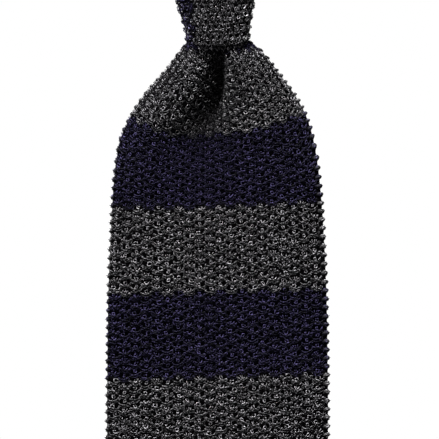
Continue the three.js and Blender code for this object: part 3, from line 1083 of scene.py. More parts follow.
    def place_uv(self, given: bpy.types.NodeOutputs) -> bpy.types.NodeSocket:
        """Turns a place on the flat sheet into the surface's UV place.

        Args:
            given: outputs of the group's input node.

        Returns:
            The UV place.
        """
        tree = self.tree
        place = add_node(tree, "GeometryNodeInputPosition")
        parts = add_node(tree, "ShaderNodeSeparateXYZ", {0: place}).outputs
        width = add_node(tree, "ShaderNodeMath", {
            0: given["Columns"], 1: given["Column Pitch"],
        }, operation="MULTIPLY")
        length = add_node(tree, "ShaderNodeMath", {
            0: given["Rows"], 1: given["Row Pitch"],
        }, operation="MULTIPLY")
        u = add_node(tree, "ShaderNodeMath", {0: parts["X"], 1: width}, operation="DIVIDE")
        up = add_node(tree, "ShaderNodeMath", {0: parts["Y"], 1: length}, operation="DIVIDE")
        v = add_node(tree, "ShaderNodeMath", {0: up, 1: -1.0}, operation="MULTIPLY")
        return add_node(tree, "ShaderNodeCombineXYZ", {"X": u, "Y": v}).outputs[0]

    def knit(self, name: str, surface: bpy.types.Mesh, sizes: dict[str, object]) -> bpy.types.Object:
        """Knits one piece on a surface and keeps the result as a plain mesh.

        Args:
            name: the piece's name.
            surface: the surface that carries the loops.
            sizes: the tree's inputs by name.

        Returns:
            The piece.
        """
        carrier = bpy.data.objects.new(name + "_carrier", surface)
        bpy.context.scene.collection.objects.link(carrier)
        modifier = carrier.modifiers.new("knit", "NODES")
        modifier.node_group = self.tree
        for socket in self.tree.interface.items_tree:
            if socket.name in sizes:
                modifier[socket.identifier] = sizes[socket.name]
        evaluated = carrier.evaluated_get(bpy.context.evaluated_depsgraph_get())
        mesh = bpy.data.meshes.new_from_object(evaluated)
        carrier.modifiers.remove(modifier)
        bpy.data.objects.remove(carrier)
        return new_piece(name, mesh)


@dataclass(frozen=True)
class Workshop:
    """What every stretch of the tie is made with."""

    knitting: KnitField
    forms: StitchForms
    yarns: dict[Yarn, bpy.types.Material]
    inner: bpy.types.Material


@dataclass
class ClothRun:
    """One stretch of the flattened knitted tube.

    Its places are given in rows along the cloth, and from 0 to 1 round the tube: across its face
    from left to right, round the right edge, back behind it and round the left edge.
    """

    node: str
    width: float
    length: float
    columns: int
    rows: int
    first_row: int = 0
    closed: bool = False
    held: Held = Held.HUNG
    rests_on: tuple[str, ...] = ()
    seed: int = 7
    samples: int = 81  # points across the cloth
    most_edge: float = 0.4  # share of a gathered cloth's width that either edge may take
    # The surface under the loops: half its thickness, and how far its edges lie in and bulge
    loop_half: float = 0.75
    loop_inset: float = 0.85
    loop_scallop: float = -0.1
    edge_bundles: bool = True
    bundle_reach: float = 0.9  # half columns that the bundles take to either side of the edge
    bare_end: float = 0.6  # rows at the end where a lowered loop would hang past it
    margin: int = 3  # half rows and half columns that it has past its ends and its seam
    # The cloth under them, likewise
    inner_half: float = 0.4
    inner_inset: float = 0.1
    inner_scallop: float = -0.15
    inner_short: float = 0.3  # rows by which it ends short of the last row
    inner_step: float = 3.0  # about how wide its faces are
    cloth_yarn: Yarn = Yarn.CHARCOAL

    def lay(self, rows: np.ndarray) -> np.ndarray:
        """Middle of the cloth.

        Args:
            rows: places along the cloth, in rows of knit.

        Returns:
            For each row, evenly spaced points across the cloth from left to right, in millimetres.
        """
        raise NotImplementedError

    def stripe_of(self, rows: np.ndarray) -> np.ndarray:
        """Colour number of each row, in stripes of even height."""
        return np.floor(rows / ROWS_A_STRIPE) % 2

    def pressed_of(self, points: np.ndarray) -> np.ndarray:
        """Share by which painted shade darkens the yarn at each point, none unless a stretch says
        otherwise.
        """
        return np.zeros(points.shape[:-1])

    def detail_of(self, round_tube: np.ndarray, rows: np.ndarray) -> np.ndarray:
        """Detail number at each place, plain unless a stretch says otherwise."""
        return np.full(np.broadcast(round_tube, rows).shape, float(Detail.PLAIN.value))

    def face_share(self, half: float, inset: float) -> float:
        """Share of the way round the tube that its face takes."""
        face = self.width - 2 * (inset + half)
        return face / (2 * face + 2 * np.pi * half)

    def skin(
        self, rows: np.ndarray, round_tube: np.ndarray, half: float, inset: float, scallop: float,
    ) -> tuple[np.ndarray, np.ndarray, np.ndarray]:
        """Surface of the flattened tube.

        Args:
            rows: places along the cloth.
            round_tube: places round the tube, where 1 more is the same place.
            half: half the tube's thickness.
            inset: how far its edges lie inside the cloth's own.
            scallop: how far its edges bulge at each row and draw in between.

        Returns:
            Points, outward directions and the share of its full width that the cloth has there.
        """
        middle = self.lay(rows)
        along = np.gradient(middle, axis=0)
        across = np.gradient(middle, axis=1)
        normals = unit(np.cross(along, across))
        sides = unit(across)
        widths = np.linalg.norm(np.diff(middle, axis=1), axis=2).sum(axis=1)
        wave = scallop * np.cos(2 * np.pi * rows)
        left = np.minimum((inset + half + wave) / widths, self.most_edge)[:, None]
        right = np.minimum((inset + half - wave) / widths, self.most_edge)[:, None]
        face = self.face_share(half, inset)
        turn = (round_tube % 1.0)[None, :]
        behind = turn >= 0.5
        on_half = np.where(behind, turn - 0.5, turn)
        on_face = np.minimum(on_half / face, 1.0)
        round_edge = (np.clip((on_half - face) / (0.5 - face), 0.0, 1.0) * np.pi)[..., None]
        share = np.where(behind, 1 - on_face, on_face)
        spot = (left + share * (1 - left - right)) * (self.samples - 1)
        before = np.clip(np.floor(spot).astype(int), 0, self.samples - 2)
        blend = (spot - before)[..., None]
        row = np.arange(len(rows))[:, None]

        def read(values: np.ndarray) -> np.ndarray:
            """Reads values of the middle at every place of the skin."""
            return values[row, before] * (1 - blend) + values[row, before + 1] * blend

        way = np.where(behind, -1.0, 1.0)[..., None]
        outward = unit(way * (np.cos(round_edge) * read(normals) + np.sin(round_edge) * read(sides)))
        points = read(middle) + half * outward
        return points, outward, np.minimum(widths / self.width, 1.0)

    def round_steps(self) -> np.ndarray:
        """Sets out the surface's points round the tube, finer where it turns over its edges.

        Returns:
            Their places in half columns, with a margin past the seam.
        """
        end = 2 * self.columns + self.margin
        turn = (self.face_share(self.loop_half, self.loop_inset) + 0.5) * self.columns
        # Quarter steps, for three half columns to either side of each edge
        fine = np.arange(-12, 13) / 4
        near = [np.round(edge) + fine for edge in (turn - self.columns, turn, turn + self.columns)]
        steps = np.unique(np.concatenate([np.arange(-self.margin, end + 1), *near]))
        return steps[(steps >= -self.margin) & (steps <= end)]

    def surface(self) -> bpy.types.Mesh:
        """Makes the surface that the loops are laid on, with a margin past its seam and ends.

        Returns:
            A mesh with a UV map and the attributes that the knit reads.
        """
        round_tube = self.round_steps() / (2 * self.columns)
        rows = np.arange(2 * self.first_row - self.margin, 2 * self.rows + self.margin + 1) / 2
        points, outward, relief = self.skin(
            rows, round_tube, self.loop_half, self.loop_inset, self.loop_scallop,
        )
        shape = points.shape[:2]
        index = np.arange(shape[0] * shape[1]).reshape(shape)
        mesh = bpy.data.meshes.new(self.node + "_surface")
        mesh.from_pydata((points.reshape(-1, 3) * MM).tolist(), [], grid_faces(index))
        grid_rows = np.broadcast_to(rows[:, None], shape)
        grid_round = np.broadcast_to(round_tube[None, :], shape)
        uv = np.stack([grid_round, grid_rows / self.rows], axis=-1).reshape(-1, 2)
        corners = np.zeros(len(mesh.loops), np.int32)
        mesh.loops.foreach_get("vertex_index", corners)
        layer = mesh.uv_layers.new(name="UVMap")
        layer.data.foreach_set("uv", uv[corners].astype(np.float32).ravel())
        # A loop belongs to the row above its middle, a quarter of a row clear of the next one
        cell = grid_rows - 0.25
        store(mesh, "stripe", self.stripe_of(np.floor(cell)))
        store(mesh, "detail", self.details(grid_round, cell))
        # Loops shrink with the cloth where it is gathered, down to half their height
        store(mesh, "relief", np.broadcast_to(np.clip(relief, 0.5, 1.0)[:, None], shape))
        # Painted shade that darkens the loops laid here
        store(mesh, "pressed", self.pressed_of(points))
        store(mesh, "outward", outward, "FLOAT_VECTOR")
        return mesh

    def details(self, round_tube: np.ndarray, rows: np.ndarray) -> np.ndarray:
        """Adds the bundles along the edges and the bare end to the stretch's own details.

        Args:
            round_tube: places round the tube.
            rows: places along the cloth.

        Returns:
            The detail's number at each place.
        """
        face = self.face_share(self.loop_half, self.loop_inset)
        from_edge = np.abs(round_tube % 0.5 - (face + 0.5) / 2)
        from_edge = np.minimum(from_edge, 0.5 - from_edge) * 2 * self.columns
        detail = self.detail_of(round_tube % 1.0, rows)
        if self.edge_bundles:
            on_edge = (from_edge < self.bundle_reach) & (detail > Detail.HIDDEN.value)
            detail = np.where(on_edge, float(Detail.EDGE.value), detail)
        if not self.closed:
            bare = rows > self.rows - self.bare_end
            detail = np.where(bare, float(Detail.HIDDEN.value), detail)
        return detail

    def inner_cloth(self, workshop: Workshop) -> bpy.types.Object:
        """Makes the thin closed cloth under the loops.

        Args:
            workshop: finishes.

        Returns:
            The cloth.
        """
        face = self.face_share(self.inner_half, self.inner_inset)
        flat = np.linspace(0, face, max(6, round(self.width / self.inner_step)) + 1)
        edge = face + np.linspace(0, 0.5 - face, 4)[1:-1]
        half_round = np.concatenate([flat, edge])
        round_tube = np.concatenate([half_round, half_round + 0.5])
        end = self.rows if self.closed else self.rows - self.inner_short
        rows = np.arange(self.first_row, end, 0.5)
        if not self.closed:
            rows = np.append(rows, end)
        points, _, _ = self.skin(
            rows, round_tube, self.inner_half, self.inner_inset, self.inner_scallop,
        )
        shape = points.shape[:2]
        index = np.arange(shape[0] * shape[1]).reshape(shape)
        ring = np.concatenate([index, index[:, :1]], axis=1)
        if self.closed:
            faces = grid_faces(np.concatenate([ring, ring[:1]], axis=0))
        else:
            faces = grid_faces(ring)
            faces += self.end_faces(index[0], len(flat), len(edge), False)
            faces += self.end_faces(index[-1], len(flat), len(edge), True)
        mesh = bpy.data.meshes.new(self.node)
        mesh.from_pydata((points.reshape(-1, 3) * MM).tolist(), [], faces)
        mesh.polygons.foreach_set("use_smooth", [True] * len(mesh.polygons))
        store(mesh, "stripe", np.broadcast_to(self.stripe_of(np.floor(rows))[:, None], shape))
        mesh.materials.append(workshop.inner)
        return new_piece(self.node + "_cloth", mesh)

    @staticmethod
    def end_faces(ring: np.ndarray, flat: int, edge: int, last: bool) -> list[tuple[int, ...]]:
        """Closes an end of the inner cloth from its face to its back.

        Args:
            ring: corner numbers round the tube at that end.
            flat: number of corners across the face.
            edge: number of corners round one edge.
            last: whether this is the end that the rows run towards.

        Returns:
            The faces.
        """
        front = list(ring[:flat])
        back = list(ring[flat + edge:2 * flat + edge])[::-1]
        faces = [(front[i], front[i + 1], back[i + 1], back[i]) for i in range(flat - 1)]
        faces.append((front[-1], *ring[flat:flat + edge], back[-1]))
        faces.append((back[0], *ring[2 * flat + edge:], front[0]))
        if last:
            faces = [tuple(reversed(face)) for face in faces]
        return [tuple(int(corner) for corner in face) for face in faces]

    def knit_pieces(self, workshop: Workshop) -> list[bpy.types.Object]:
        """Knits every stripe colour and detail of this stretch that shows.

        Args:
            workshop: knit, loops and yarns.

        Returns:
            The knitted pieces.
        """
        surface = self.surface()
        shown = np.zeros(len(surface.vertices), np.float32)
        surface.attributes["detail"].data.foreach_get("value", shown)
        pieces = []
        for detail in (Detail.FINE, Detail.PLAIN, Detail.EDGE):
            if not np.any(shown == detail.value):
                continue
            for yarn in Yarn:
                name = f"{self.node}_{yarn.word}_{detail.name.lower()}_loops"
                loops = workshop.forms.collections[detail]
                sizes = self.sizes(loops, workshop, yarn, detail)
                pieces.append(workshop.knitting.knit(name, surface, sizes))
        if not self.closed and self.held is Held.HUNG:
            yarn = Yarn(int(self.stripe_of(np.array([self.rows - 1.0]))[0]))
            sizes = self.sizes(workshop.forms.cast_off, workshop, yarn, Detail.PLAIN)
            sizes |= {"First Row": self.rows - 1, "Rows Used": 1, "Half Drop": 0.0}
            name = f"{self.node}_{yarn.word}_cast_off"
            pieces.append(workshop.knitting.knit(name, surface, sizes))
        bpy.data.meshes.remove(surface)
        return pieces

    def sizes(
        self, loops: bpy.types.Collection, workshop: Workshop, yarn: Yarn, detail: Detail,
    ) -> dict[str, object]:
        """Inputs of the knit for one piece of this stretch.

        Args:
            loops: the loops to pick from.
            workshop: yarns.
            yarn: the stripes that the piece covers.
            detail: the places that the piece covers.

        Returns:
            The inputs by name.
        """
        face = self.width - 2 * (self.loop_inset + self.loop_half)
        tube = 2 * face + 2 * np.pi * self.loop_half
        return {
            "Loops": loops,
            "Number Of Loops": len(loops.objects),
            "Columns": self.columns,
            "Rows": self.rows,
            "First Row": self.first_row,
            "Rows Used": self.rows - self.first_row,
            "Column Pitch": float(tube / self.columns * MM),
            "Row Pitch": ROW_PITCH * MM,
            "Stripe": float(yarn.value),
            "Detail": float(detail.value),
            "Seed": self.seed,
            "Yarn": workshop.yarns[yarn],
        }

    def slot_of(self, piece: bpy.types.Object) -> str:
        """Names a piece's slot in the record.

        Args:
            piece: the piece.

        Returns:
            The slot of its yarn, or of the stretch where it is the cloth under the loops.
        """
        for yarn in Yarn:
            if f"_{yarn.word}_" in piece.name:
                return yarn.slot
        return self.cloth_yarn.slot

    def dress(self, workshop: Workshop) -> None:
        """Builds this stretch, attaches its pieces to the root body and hides the CAD part of the same
        name.

        Args:
            workshop: knit, loops and finishes.
        """
        cloth = self.inner_cloth(workshop)
        pieces = self.knit_pieces(workshop)
        for piece in [cloth, *pieces]:
            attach(piece, "root")
            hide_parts(self.node)
            self.slot_of(piece)
        list(self.rests_on)


@dataclass
class FrontBlade(ClothRun):
    """The wide end: gathered at the knot round its dimple, then hanging flat."""

    # Shares of the way to each edge over which the dimple rises: on the left, and on the right
    # where its crease is sharp and where it has opened
    rise_left: float = 0.75
    rise_right: float = 0.1
    rise_opened: float = 0.45
    crease_power: float = 2.2
    spreads_from: float = -0.8
    spreads_over: float = 3.6
    # The blade is worked out at this many places down to where it hangs flat, and as many below
    folded_to: float = 45.0
    flat_from: float = 45.2
    runs_past: float = 12.0
    steps: int = 500
    fine_rows: int = 50
    # The loops behind run on a little under the tail's edges and above its end
    tail_overlap: float = 0.16
    tail_end: float = 12.0

    def dimple(self, drops: np.ndarray, x: np.ndarray) -> tuple[np.ndarray, np.ndarray]:
        """Depth of the dimple, a long slope from the left that ends at a steep wall on the right.

        Args:
            drops: places below the knot.
            x: places across the blade.

        Returns:
            The depth and how far each place is from the deepest line, 1 at the blade's edges.
        """
        left = BLADE_FOLDS.value("left", drops)
        right = BLADE_FOLDS.value("right", drops)
        deepest = BLADE_FOLDS.value("valley_x", drops)
        crease = BLADE_FOLDS.value("crease", drops)
        on_left = x < deepest
        side = np.abs((x - deepest) / (np.where(on_left, -left, right) - deepest))
        wall = self.rise_opened + (self.rise_right - self.rise_opened) * crease
        slope = np.minimum(side / np.where(on_left, self.rise_left, wall), 1)
        smooth = np.cos(slope * np.pi / 2) ** 2
        sharp = np.where(on_left, (1 - slope) ** self.crease_power, smooth)
        return BLADE_FOLDS.value("valley", drops) * (crease * sharp + (1 - crease) * smooth), side

    def lay(self, rows: np.ndarray) -> np.ndarray:
        """Middle of the cloth, with its dimple, its swept edges and its courses.

        Args:
            rows: places along the cloth, in rows of knit.

        Returns:
            For each row, evenly spaced points across the cloth, in millimetres.
        """
        folded = np.linspace(ENDS_FROM, self.folded_to, self.steps)
        flat = np.linspace(self.flat_from, BLADE_LENGTH + self.runs_past, self.steps)
        drops = np.concatenate([folded, flat])

        def fold(column: str) -> np.ndarray:
            """Reads a column of the folds at every drop."""
            return BLADE_FOLDS.value(column, drops)[:, None]

        left = fold("left")
        across = np.linspace(0, 1, self.samples)[None, :]
        packed = np.clip(1 - (drops - self.spreads_from) / self.spreads_over, 0, 1)[:, None]
        x = -left + (fold("right") + left) * across
        valley, side = self.dimple(drops[:, None], x)
        plane = BLADE_Y + (PLUG_Y - BLADE_Y) * packed - fold("bulge")
        y = plane + valley + fold("sweep") * side ** 3
        z = np.broadcast_to((KNOT_BOTTOM - drops)[:, None], x.shape)
        points = evenly_across(np.stack([x, y, z], axis=-1), self.samples)
        x = points[..., 0]
        _, side = self.dimple(drops[:, None], x)

        def course(column: str) -> np.ndarray:
            """Reads a column of the courses at every drop."""
            return BLADE_COURSES.value(column, drops)[:, None]

        cloth = course("cloth") + course("sag") * side ** 2 + COURSE_RISE * course("climb") * x
        wanted = rows * ROW_PITCH
        columns = [run_on(wanted, cloth[:, i], points[:, i]) for i in range(self.samples)]
        return np.stack(columns, axis=1)

    def pressed_of(self, points: np.ndarray) -> np.ndarray:
        """Painted shade, most at the bottom of the dimple and none outside it.

        Args:
            points: places on the surface, in millimetres.

        Returns:
            The share by which painted shade darkens the yarn at each place.
        """
        drop = KNOT_BOTTOM - points[..., 2]
        from_middle = points[..., 0] - DIMPLE_PAINTED_SHADE.value("middle", drop)
        on_left = from_middle < 0
        reach = np.where(on_left, DIMPLE_PAINTED_SHADE.value("reach_left", drop), DIMPLE_PAINTED_SHADE.value("reach_right", drop))
        share = np.clip(1 - np.abs(from_middle) / reach, 0, 1)
        return DIMPLE_PAINTED_SHADE.value("amount", drop) * share * (2 - share)

    def detail_of(self, round_tube: np.ndarray, rows: np.ndarray) -> np.ndarray:
        """Fine where the photograph looks, and nothing between the two hanging ends.

        Args:
            round_tube: places round the tube.
            rows: places along the cloth, in rows of knit.

        Returns:
            The number of the detail at each place.
        """
        face = self.face_share(self.loop_half, self.loop_inset)
        fine = (round_tube < face) & (rows < self.fine_rows)
        drop = rows * ROW_PITCH
        tail_half = TAIL_FOLDS.value("half_width", drop) / BLADE_FOLDS.value("right", drop)
        from_middle = np.abs((round_tube - 0.5) / face - 0.5) * 2
        beside_tail = (from_middle < tail_half - self.tail_overlap) & (round_tube > 0.5)
        covered = beside_tail & (drop < TAIL_LENGTH - self.tail_end)
        detail = np.where(fine, Detail.FINE.value, Detail.PLAIN.value)
        return np.where(covered, Detail.HIDDEN.value, detail).astype(float)


@dataclass
class TailBlade(ClothRun):
    """The narrow end that hangs behind the wide one."""

    shown_margin: float = 0.05
    shown_rows: int = 3

    def lay(self, rows: np.ndarray) -> np.ndarray:
        """Middle of the cloth.

        Args:
            rows: places along the cloth, in rows of knit.

        Returns:
            For each row, evenly spaced points across the cloth, in millimetres.
        """
        drop = (rows * ROW_PITCH)[:, None]
        x = TAIL_FOLDS.value("half_width", drop) * np.linspace(-1, 1, self.samples)[None, :]
        y = np.broadcast_to(TAIL_Y + TAIL_FOLDS.value("back", drop), x.shape)
        z = np.broadcast_to(KNOT_BOTTOM - drop, x.shape)
        return np.stack([x, y, z], axis=-1)

    def detail_of(self, round_tube: np.ndarray, rows: np.ndarray) -> np.ndarray:
        """Nothing on the face, which lies against the blade, but for its edges and first rows.

        Args:
            round_tube: places round the tube.
            rows: places along the cloth, in rows of knit.

        Returns:
            The number of the detail at each place.
        """
        end = self.face_share(self.loop_half, self.loop_inset) - self.shown_margin
        covered = (round_tube > self.shown_margin) & (round_tube < end) & (rows > self.shown_rows)
        return np.where(covered, Detail.HIDDEN.value, Detail.PLAIN.value).astype(float)


@dataclass
class NeckBand(ClothRun):
    """The loop round the neck, from its left end inside the knot to its right one."""

    neck_steps: int = 70
    leg_steps: int = 8
    # Where the band starts to gather on its way round the neck, and by where on its way into the
    # knot it faces forwards and leans with the knot, as shares of each way
    gathers_from: float = 0.55
    turned_by: float = 0.45
    leaning_by: float = 0.4
    least_half: float = 2.0
    hidden_rows: int = 11

    @staticmethod
    def eased(value: np.ndarray, start: float, end: float) -> np.ndarray:
        """Rises smoothly from 0 at start to 1 at end."""
        t = np.clip((value - start) / (end - start), 0, 1)
        return t * t * (3 - 2 * t)

    def stations(self) -> tuple[np.ndarray, np.ndarray, np.ndarray]:
        """Stations all along the loop.

        Returns:
            The middle of the cloth, the way that its face looks and half its width at each.
        """
        share = np.linspace(0, 1, self.neck_steps + 1)
        turn = np.radians(BAND_LEAVES_NECK) * share
        sine = np.sin(turn)
        cosine = np.cos(turn)
        outward = unit(np.stack([sine / NECK_HALF_WIDTH, cosine / NECK_HALF_DEPTH, 0 * turn], axis=1))
        x = NECK_HALF_WIDTH * sine
        y = NECK_HALF_DEPTH * (cosine - 1)
        z = BAND_DROP * (cosine - 1) / 2
        place = np.stack([x, y, z], axis=1) + outward * CLOTH / 2
        half = (BAND_WIDTH - BAND_GATHER * self.eased(share, self.gathers_from, 1)) / 2
        corners = np.vstack([[*place[-1], half[-1]], np.array(BAND_END_ROUTE)])
        route = smooth_route(corners, self.leg_steps)[1:]
        t = (np.arange(len(route)) + 1) / len(route)
        forwards = np.array([0.0, -1.0, 0.0])
        turning = self.eased(t, 0, self.turned_by)[:, None]
        into = unit(outward[-1] * (1 - turning) + forwards * turning)
        places = np.vstack([place, route[:, :3]])
        outwards = np.vstack([outward, into])
        halves = np.concatenate([half, route[:, 3]])
        at_knot = np.concatenate([0 * share, self.eased(t, 0, self.leaning_by)])
        # The left half mirrors the right one, and both lean with the knot where they enter it
        mirror = np.array([-1.0, 1.0, 1.0])
        places = np.vstack([places[:0:-1] * mirror, places])
        outwards = np.vstack([outwards[:0:-1] * mirror, outwards])
        halves = np.concatenate([halves[:0:-1], halves])
        at_knot = np.concatenate([at_knot[:0:-1], at_knot])
        places[:, 0] += at_knot * knot_lean(places[:, 2])
        return places, outwards, halves

    def lay(self, rows: np.ndarray) -> np.ndarray:
        """Middle of the cloth, with its upper edge on the right of its face.

        Args:
            rows: places along the cloth, in rows of knit.

        Returns:
            For each row, evenly spaced points across the cloth, in millimetres.
        """
        places, outwards, halves = self.stations()
        lengths = lengths_along(places)
        wanted = rows / self.rows * lengths[-1]
        place = run_on(wanted, lengths, places)
        outward = run_on(wanted, lengths, outwards)
        half = np.maximum(run_on(wanted, lengths, halves), self.least_half)[:, None, None]
        along = unit(np.gradient(place, axis=0))
        normal = unit(outward - along * np.sum(outward * along, axis=1, keepdims=True))
        up = np.cross(normal, along)
        across = np.linspace(-1, 1, self.samples)[None, :, None]
        return place[:, None] + up[:, None] * half * across

    def detail_of(self, round_tube: np.ndarray, rows: np.ndarray) -> np.ndarray:
        """Nothing on the ends inside the knot.

        Args:
            round_tube: places round the tube.
            rows: places along the cloth, in rows of knit.

        Returns:
            The number of the detail at each place.
        """
        hidden = (rows < self.hidden_rows) | (rows > self.rows - self.hidden_rows)
        detail = np.where(hidden, Detail.HIDDEN.value, Detail.PLAIN.value)
        return np.broadcast_to(detail, np.broadcast(round_tube, rows).shape).astype(float)


@dataclass
class KnotPassage(ClothRun):
    """The blade's way up behind the knot, over its top and down inside the wrap."""

    route_steps: int = 8
    least_half: float = 3.0
    saddle_power: float = 1.3
    shown_share: float = 0.66

    def lay(self, rows: np.ndarray) -> np.ndarray:
        """Middle of the cloth, whose edges stand up where it folds over the top.

        Args:
            rows: places along the cloth, in rows of knit.

        Returns:
            For each row, evenly spaced points across the cloth, in millimetres.
        """
        corners = np.array([(0.0, y, z, half, saddle) for y, z, half, saddle in PASSAGE_ROUTE])
        route = smooth_route(corners, self.route_steps)
        lengths = lengths_along(route)
        at = run_on(rows / self.rows * lengths[-1], lengths, route)
        place = at[:, :3]
        along = unit(np.gradient(place, axis=0))
        normal = np.cross(np.array([1.0, 0.0, 0.0]), along) * -1
        across = np.linspace(-1, 1, self.samples)[None, :]
        half = np.maximum(at[:, 3], self.least_half)[:, None]
        saddle = at[:, 4][:, None] * np.abs(across) ** self.saddle_power
        x = half * across + knot_lean(place[:, 2])[:, None]
        y = place[:, 1:2] + normal[:, 1:2] * saddle
        z = place[:, 2:3] + normal[:, 2:3] * saddle
        return evenly_across(np.stack([x, y, z], axis=-1), self.samples)

    def detail_of(self, round_tube: np.ndarray, rows: np.ndarray) -> np.ndarray:
        """Nothing on the stretch inside the wrap.

        Args:
            round_tube: places round the tube.
            rows: places along the cloth, in rows of knit.

        Returns:
            The number of the detail at each place.
        """
        hidden = rows > self.shown_share * self.rows
        detail = np.where(hidden, Detail.HIDDEN.value, Detail.PLAIN.value)
        return np.broadcast_to(detail, np.broadcast(round_tube, rows).shape).astype(float)


@dataclass
class KnotWrap(ClothRun):
    """The turn of the blade that goes round the knot and shows as its front.

    Its cloth lies on its side: rows run round the knot, to the right on its front, and the right
    of its face is up. Its first row starts at the upright line where navy meets charcoal.
    """

    outer_squareness: float = 3.4
    inner_squareness: float = 5.2
    lift_left: float = 0.9
    lift_right: float = 1.7
    hang: float = 1.1  # how much lower the rim of the photographed knot is than the solid's
    top_slant: float = 1.0
    turns: int = 720
    # The charcoal starts at this line across the knot or, where that falls outside, at this share
    # of the knot's width, less this slack, in from its left side
    colour_line: float = -8.4
    line_share: float = 0.1
    line_slack: float = 0.4
    # Share by which the loops are drawn darker all round, and how much more painted shade darkens them
    # on the right, where the turn goes behind the knot
    tight: float = 0.2
    tighter: float = 0.15
    behind_from: float = 2.0
    behind_over: float = 4.0
    rim_share: float = 0.06

    def lay(self, rows: np.ndarray) -> np.ndarray:
        """Middle of the wall, from its lower edge to its upper one.

        Args:
            rows: places along the cloth, in rows of knit.

        Returns:
            For each row, evenly spaced points across the cloth, in millimetres.
        """
        inside = KNOT_WALL / 2
        squareness = (self.outer_squareness + self.inner_squareness) / 2
        turn = np.linspace(0, 2 * np.pi, self.turns, endpoint=False)[:, None] + np.pi

        def bend(value: np.ndarray, power: float) -> np.ndarray:
            """Bends a sine or cosine towards a square with round corners."""
            return np.sign(value) * np.abs(value) ** (2 / power)

        rise = np.linspace(0, KNOT_HEIGHT, self.samples)[None, :]
        sideways = bend(np.cos(turn), self.outer_squareness)
        lift = np.where(sideways < 0, self.lift_left, self.lift_right) * sideways ** 2 - self.hang
        rim_top = KNOT_HEIGHT + self.top_slant * sideways
        z = KNOT_BOTTOM + lift + rise * (rim_top - lift) / KNOT_HEIGHT
        half_width = WRAP_OUTLINE.value("half_width", rise) - inside
        half_depth = KNOT_HALF_DEPTH * WRAP_OUTLINE.value("fullness", rise) - inside
        x = WRAP_OUTLINE.value("shift", rise) + half_width * bend(np.cos(turn), squareness)
        y = KNOT_MIDDLE + half_depth * bend(np.sin(turn), squareness)
        points = np.stack([x, y + 0 * z, z], axis=-1)
        laid = np.zeros((len(rows), self.samples, 3))
        for i in range(self.samples):
            loop = points[:, i]
            left, right = loop[:, 0].min(), loop[:, 0].max()
            near_left = left + self.line_share * (right - left) - self.line_slack
            line = max(self.colour_line, near_left)
            past_line = np.flatnonzero(loop[:, 0] >= line)[0]
            loop = np.roll(loop, -past_line, axis=0)
            loop = np.vstack([loop, loop[:1]])
            lengths = lengths_along(loop)
            laid[:, i] = read_at((rows / self.rows % 1.0) * lengths[-1], lengths, loop)
        return laid

    def pressed_of(self, points: np.ndarray) -> np.ndarray:
        """Drawn darker all round, and darker still on the right as painted shade, where the turn goes
        behind the knot.
        """
        behind = np.clip((points[..., 0] - self.behind_from) / self.behind_over, 0, 1)
        return self.tight + self.tighter * behind

    def stripe_of(self, rows: np.ndarray) -> np.ndarray:
        """One charcoal stripe across the front, and navy on either side of it."""
        front = rows % self.rows < ROWS_A_STRIPE + 1
        return np.where(front, Yarn.CHARCOAL.value, Yarn.NAVY.value).astype(float)

    def detail_of(self, round_tube: np.ndarray, rows: np.ndarray) -> np.ndarray:
        """Fine on the outside, and nothing inside the knot.

        Args:
            round_tube: places round the tube.
            rows: places along the cloth, in rows of knit.

        Returns:
            The number of the detail at each place.
        """
        face = self.face_share(self.loop_half, self.loop_inset)
        outside = (round_tube < face + self.rim_share) | (round_tube > 1 - self.rim_share)
        return np.where(outside, Detail.FINE.value, Detail.HIDDEN.value).astype(float)


@dataclass(frozen=True)
class Lamp:
    """One soft square light: where it stands, its side, its watts and its beam's angle in degrees."""

    name: str
    place: tuple[float, float, float]
    side: float
    power: float
    spread: float

    def light(self, target: Vector) -> None:
        """Adds the light to the scene.

        Args:
            target: what it is aimed at, in metres.
        """
        light = bpy.data.lights.new(self.name, "AREA")
        light.energy = self.power
        light.size = self.side * MM
        light.spread = math.radians(self.spread)
        lamp = bpy.data.objects.new(self.name, light)
        lamp.location = Vector(self.place) * MM
        lamp.rotation_euler = (target - lamp.location).to_track_quat("-Z", "Y").to_euler()
        lamp.visible_camera = False
        bpy.context.scene.collection.objects.link(lamp)


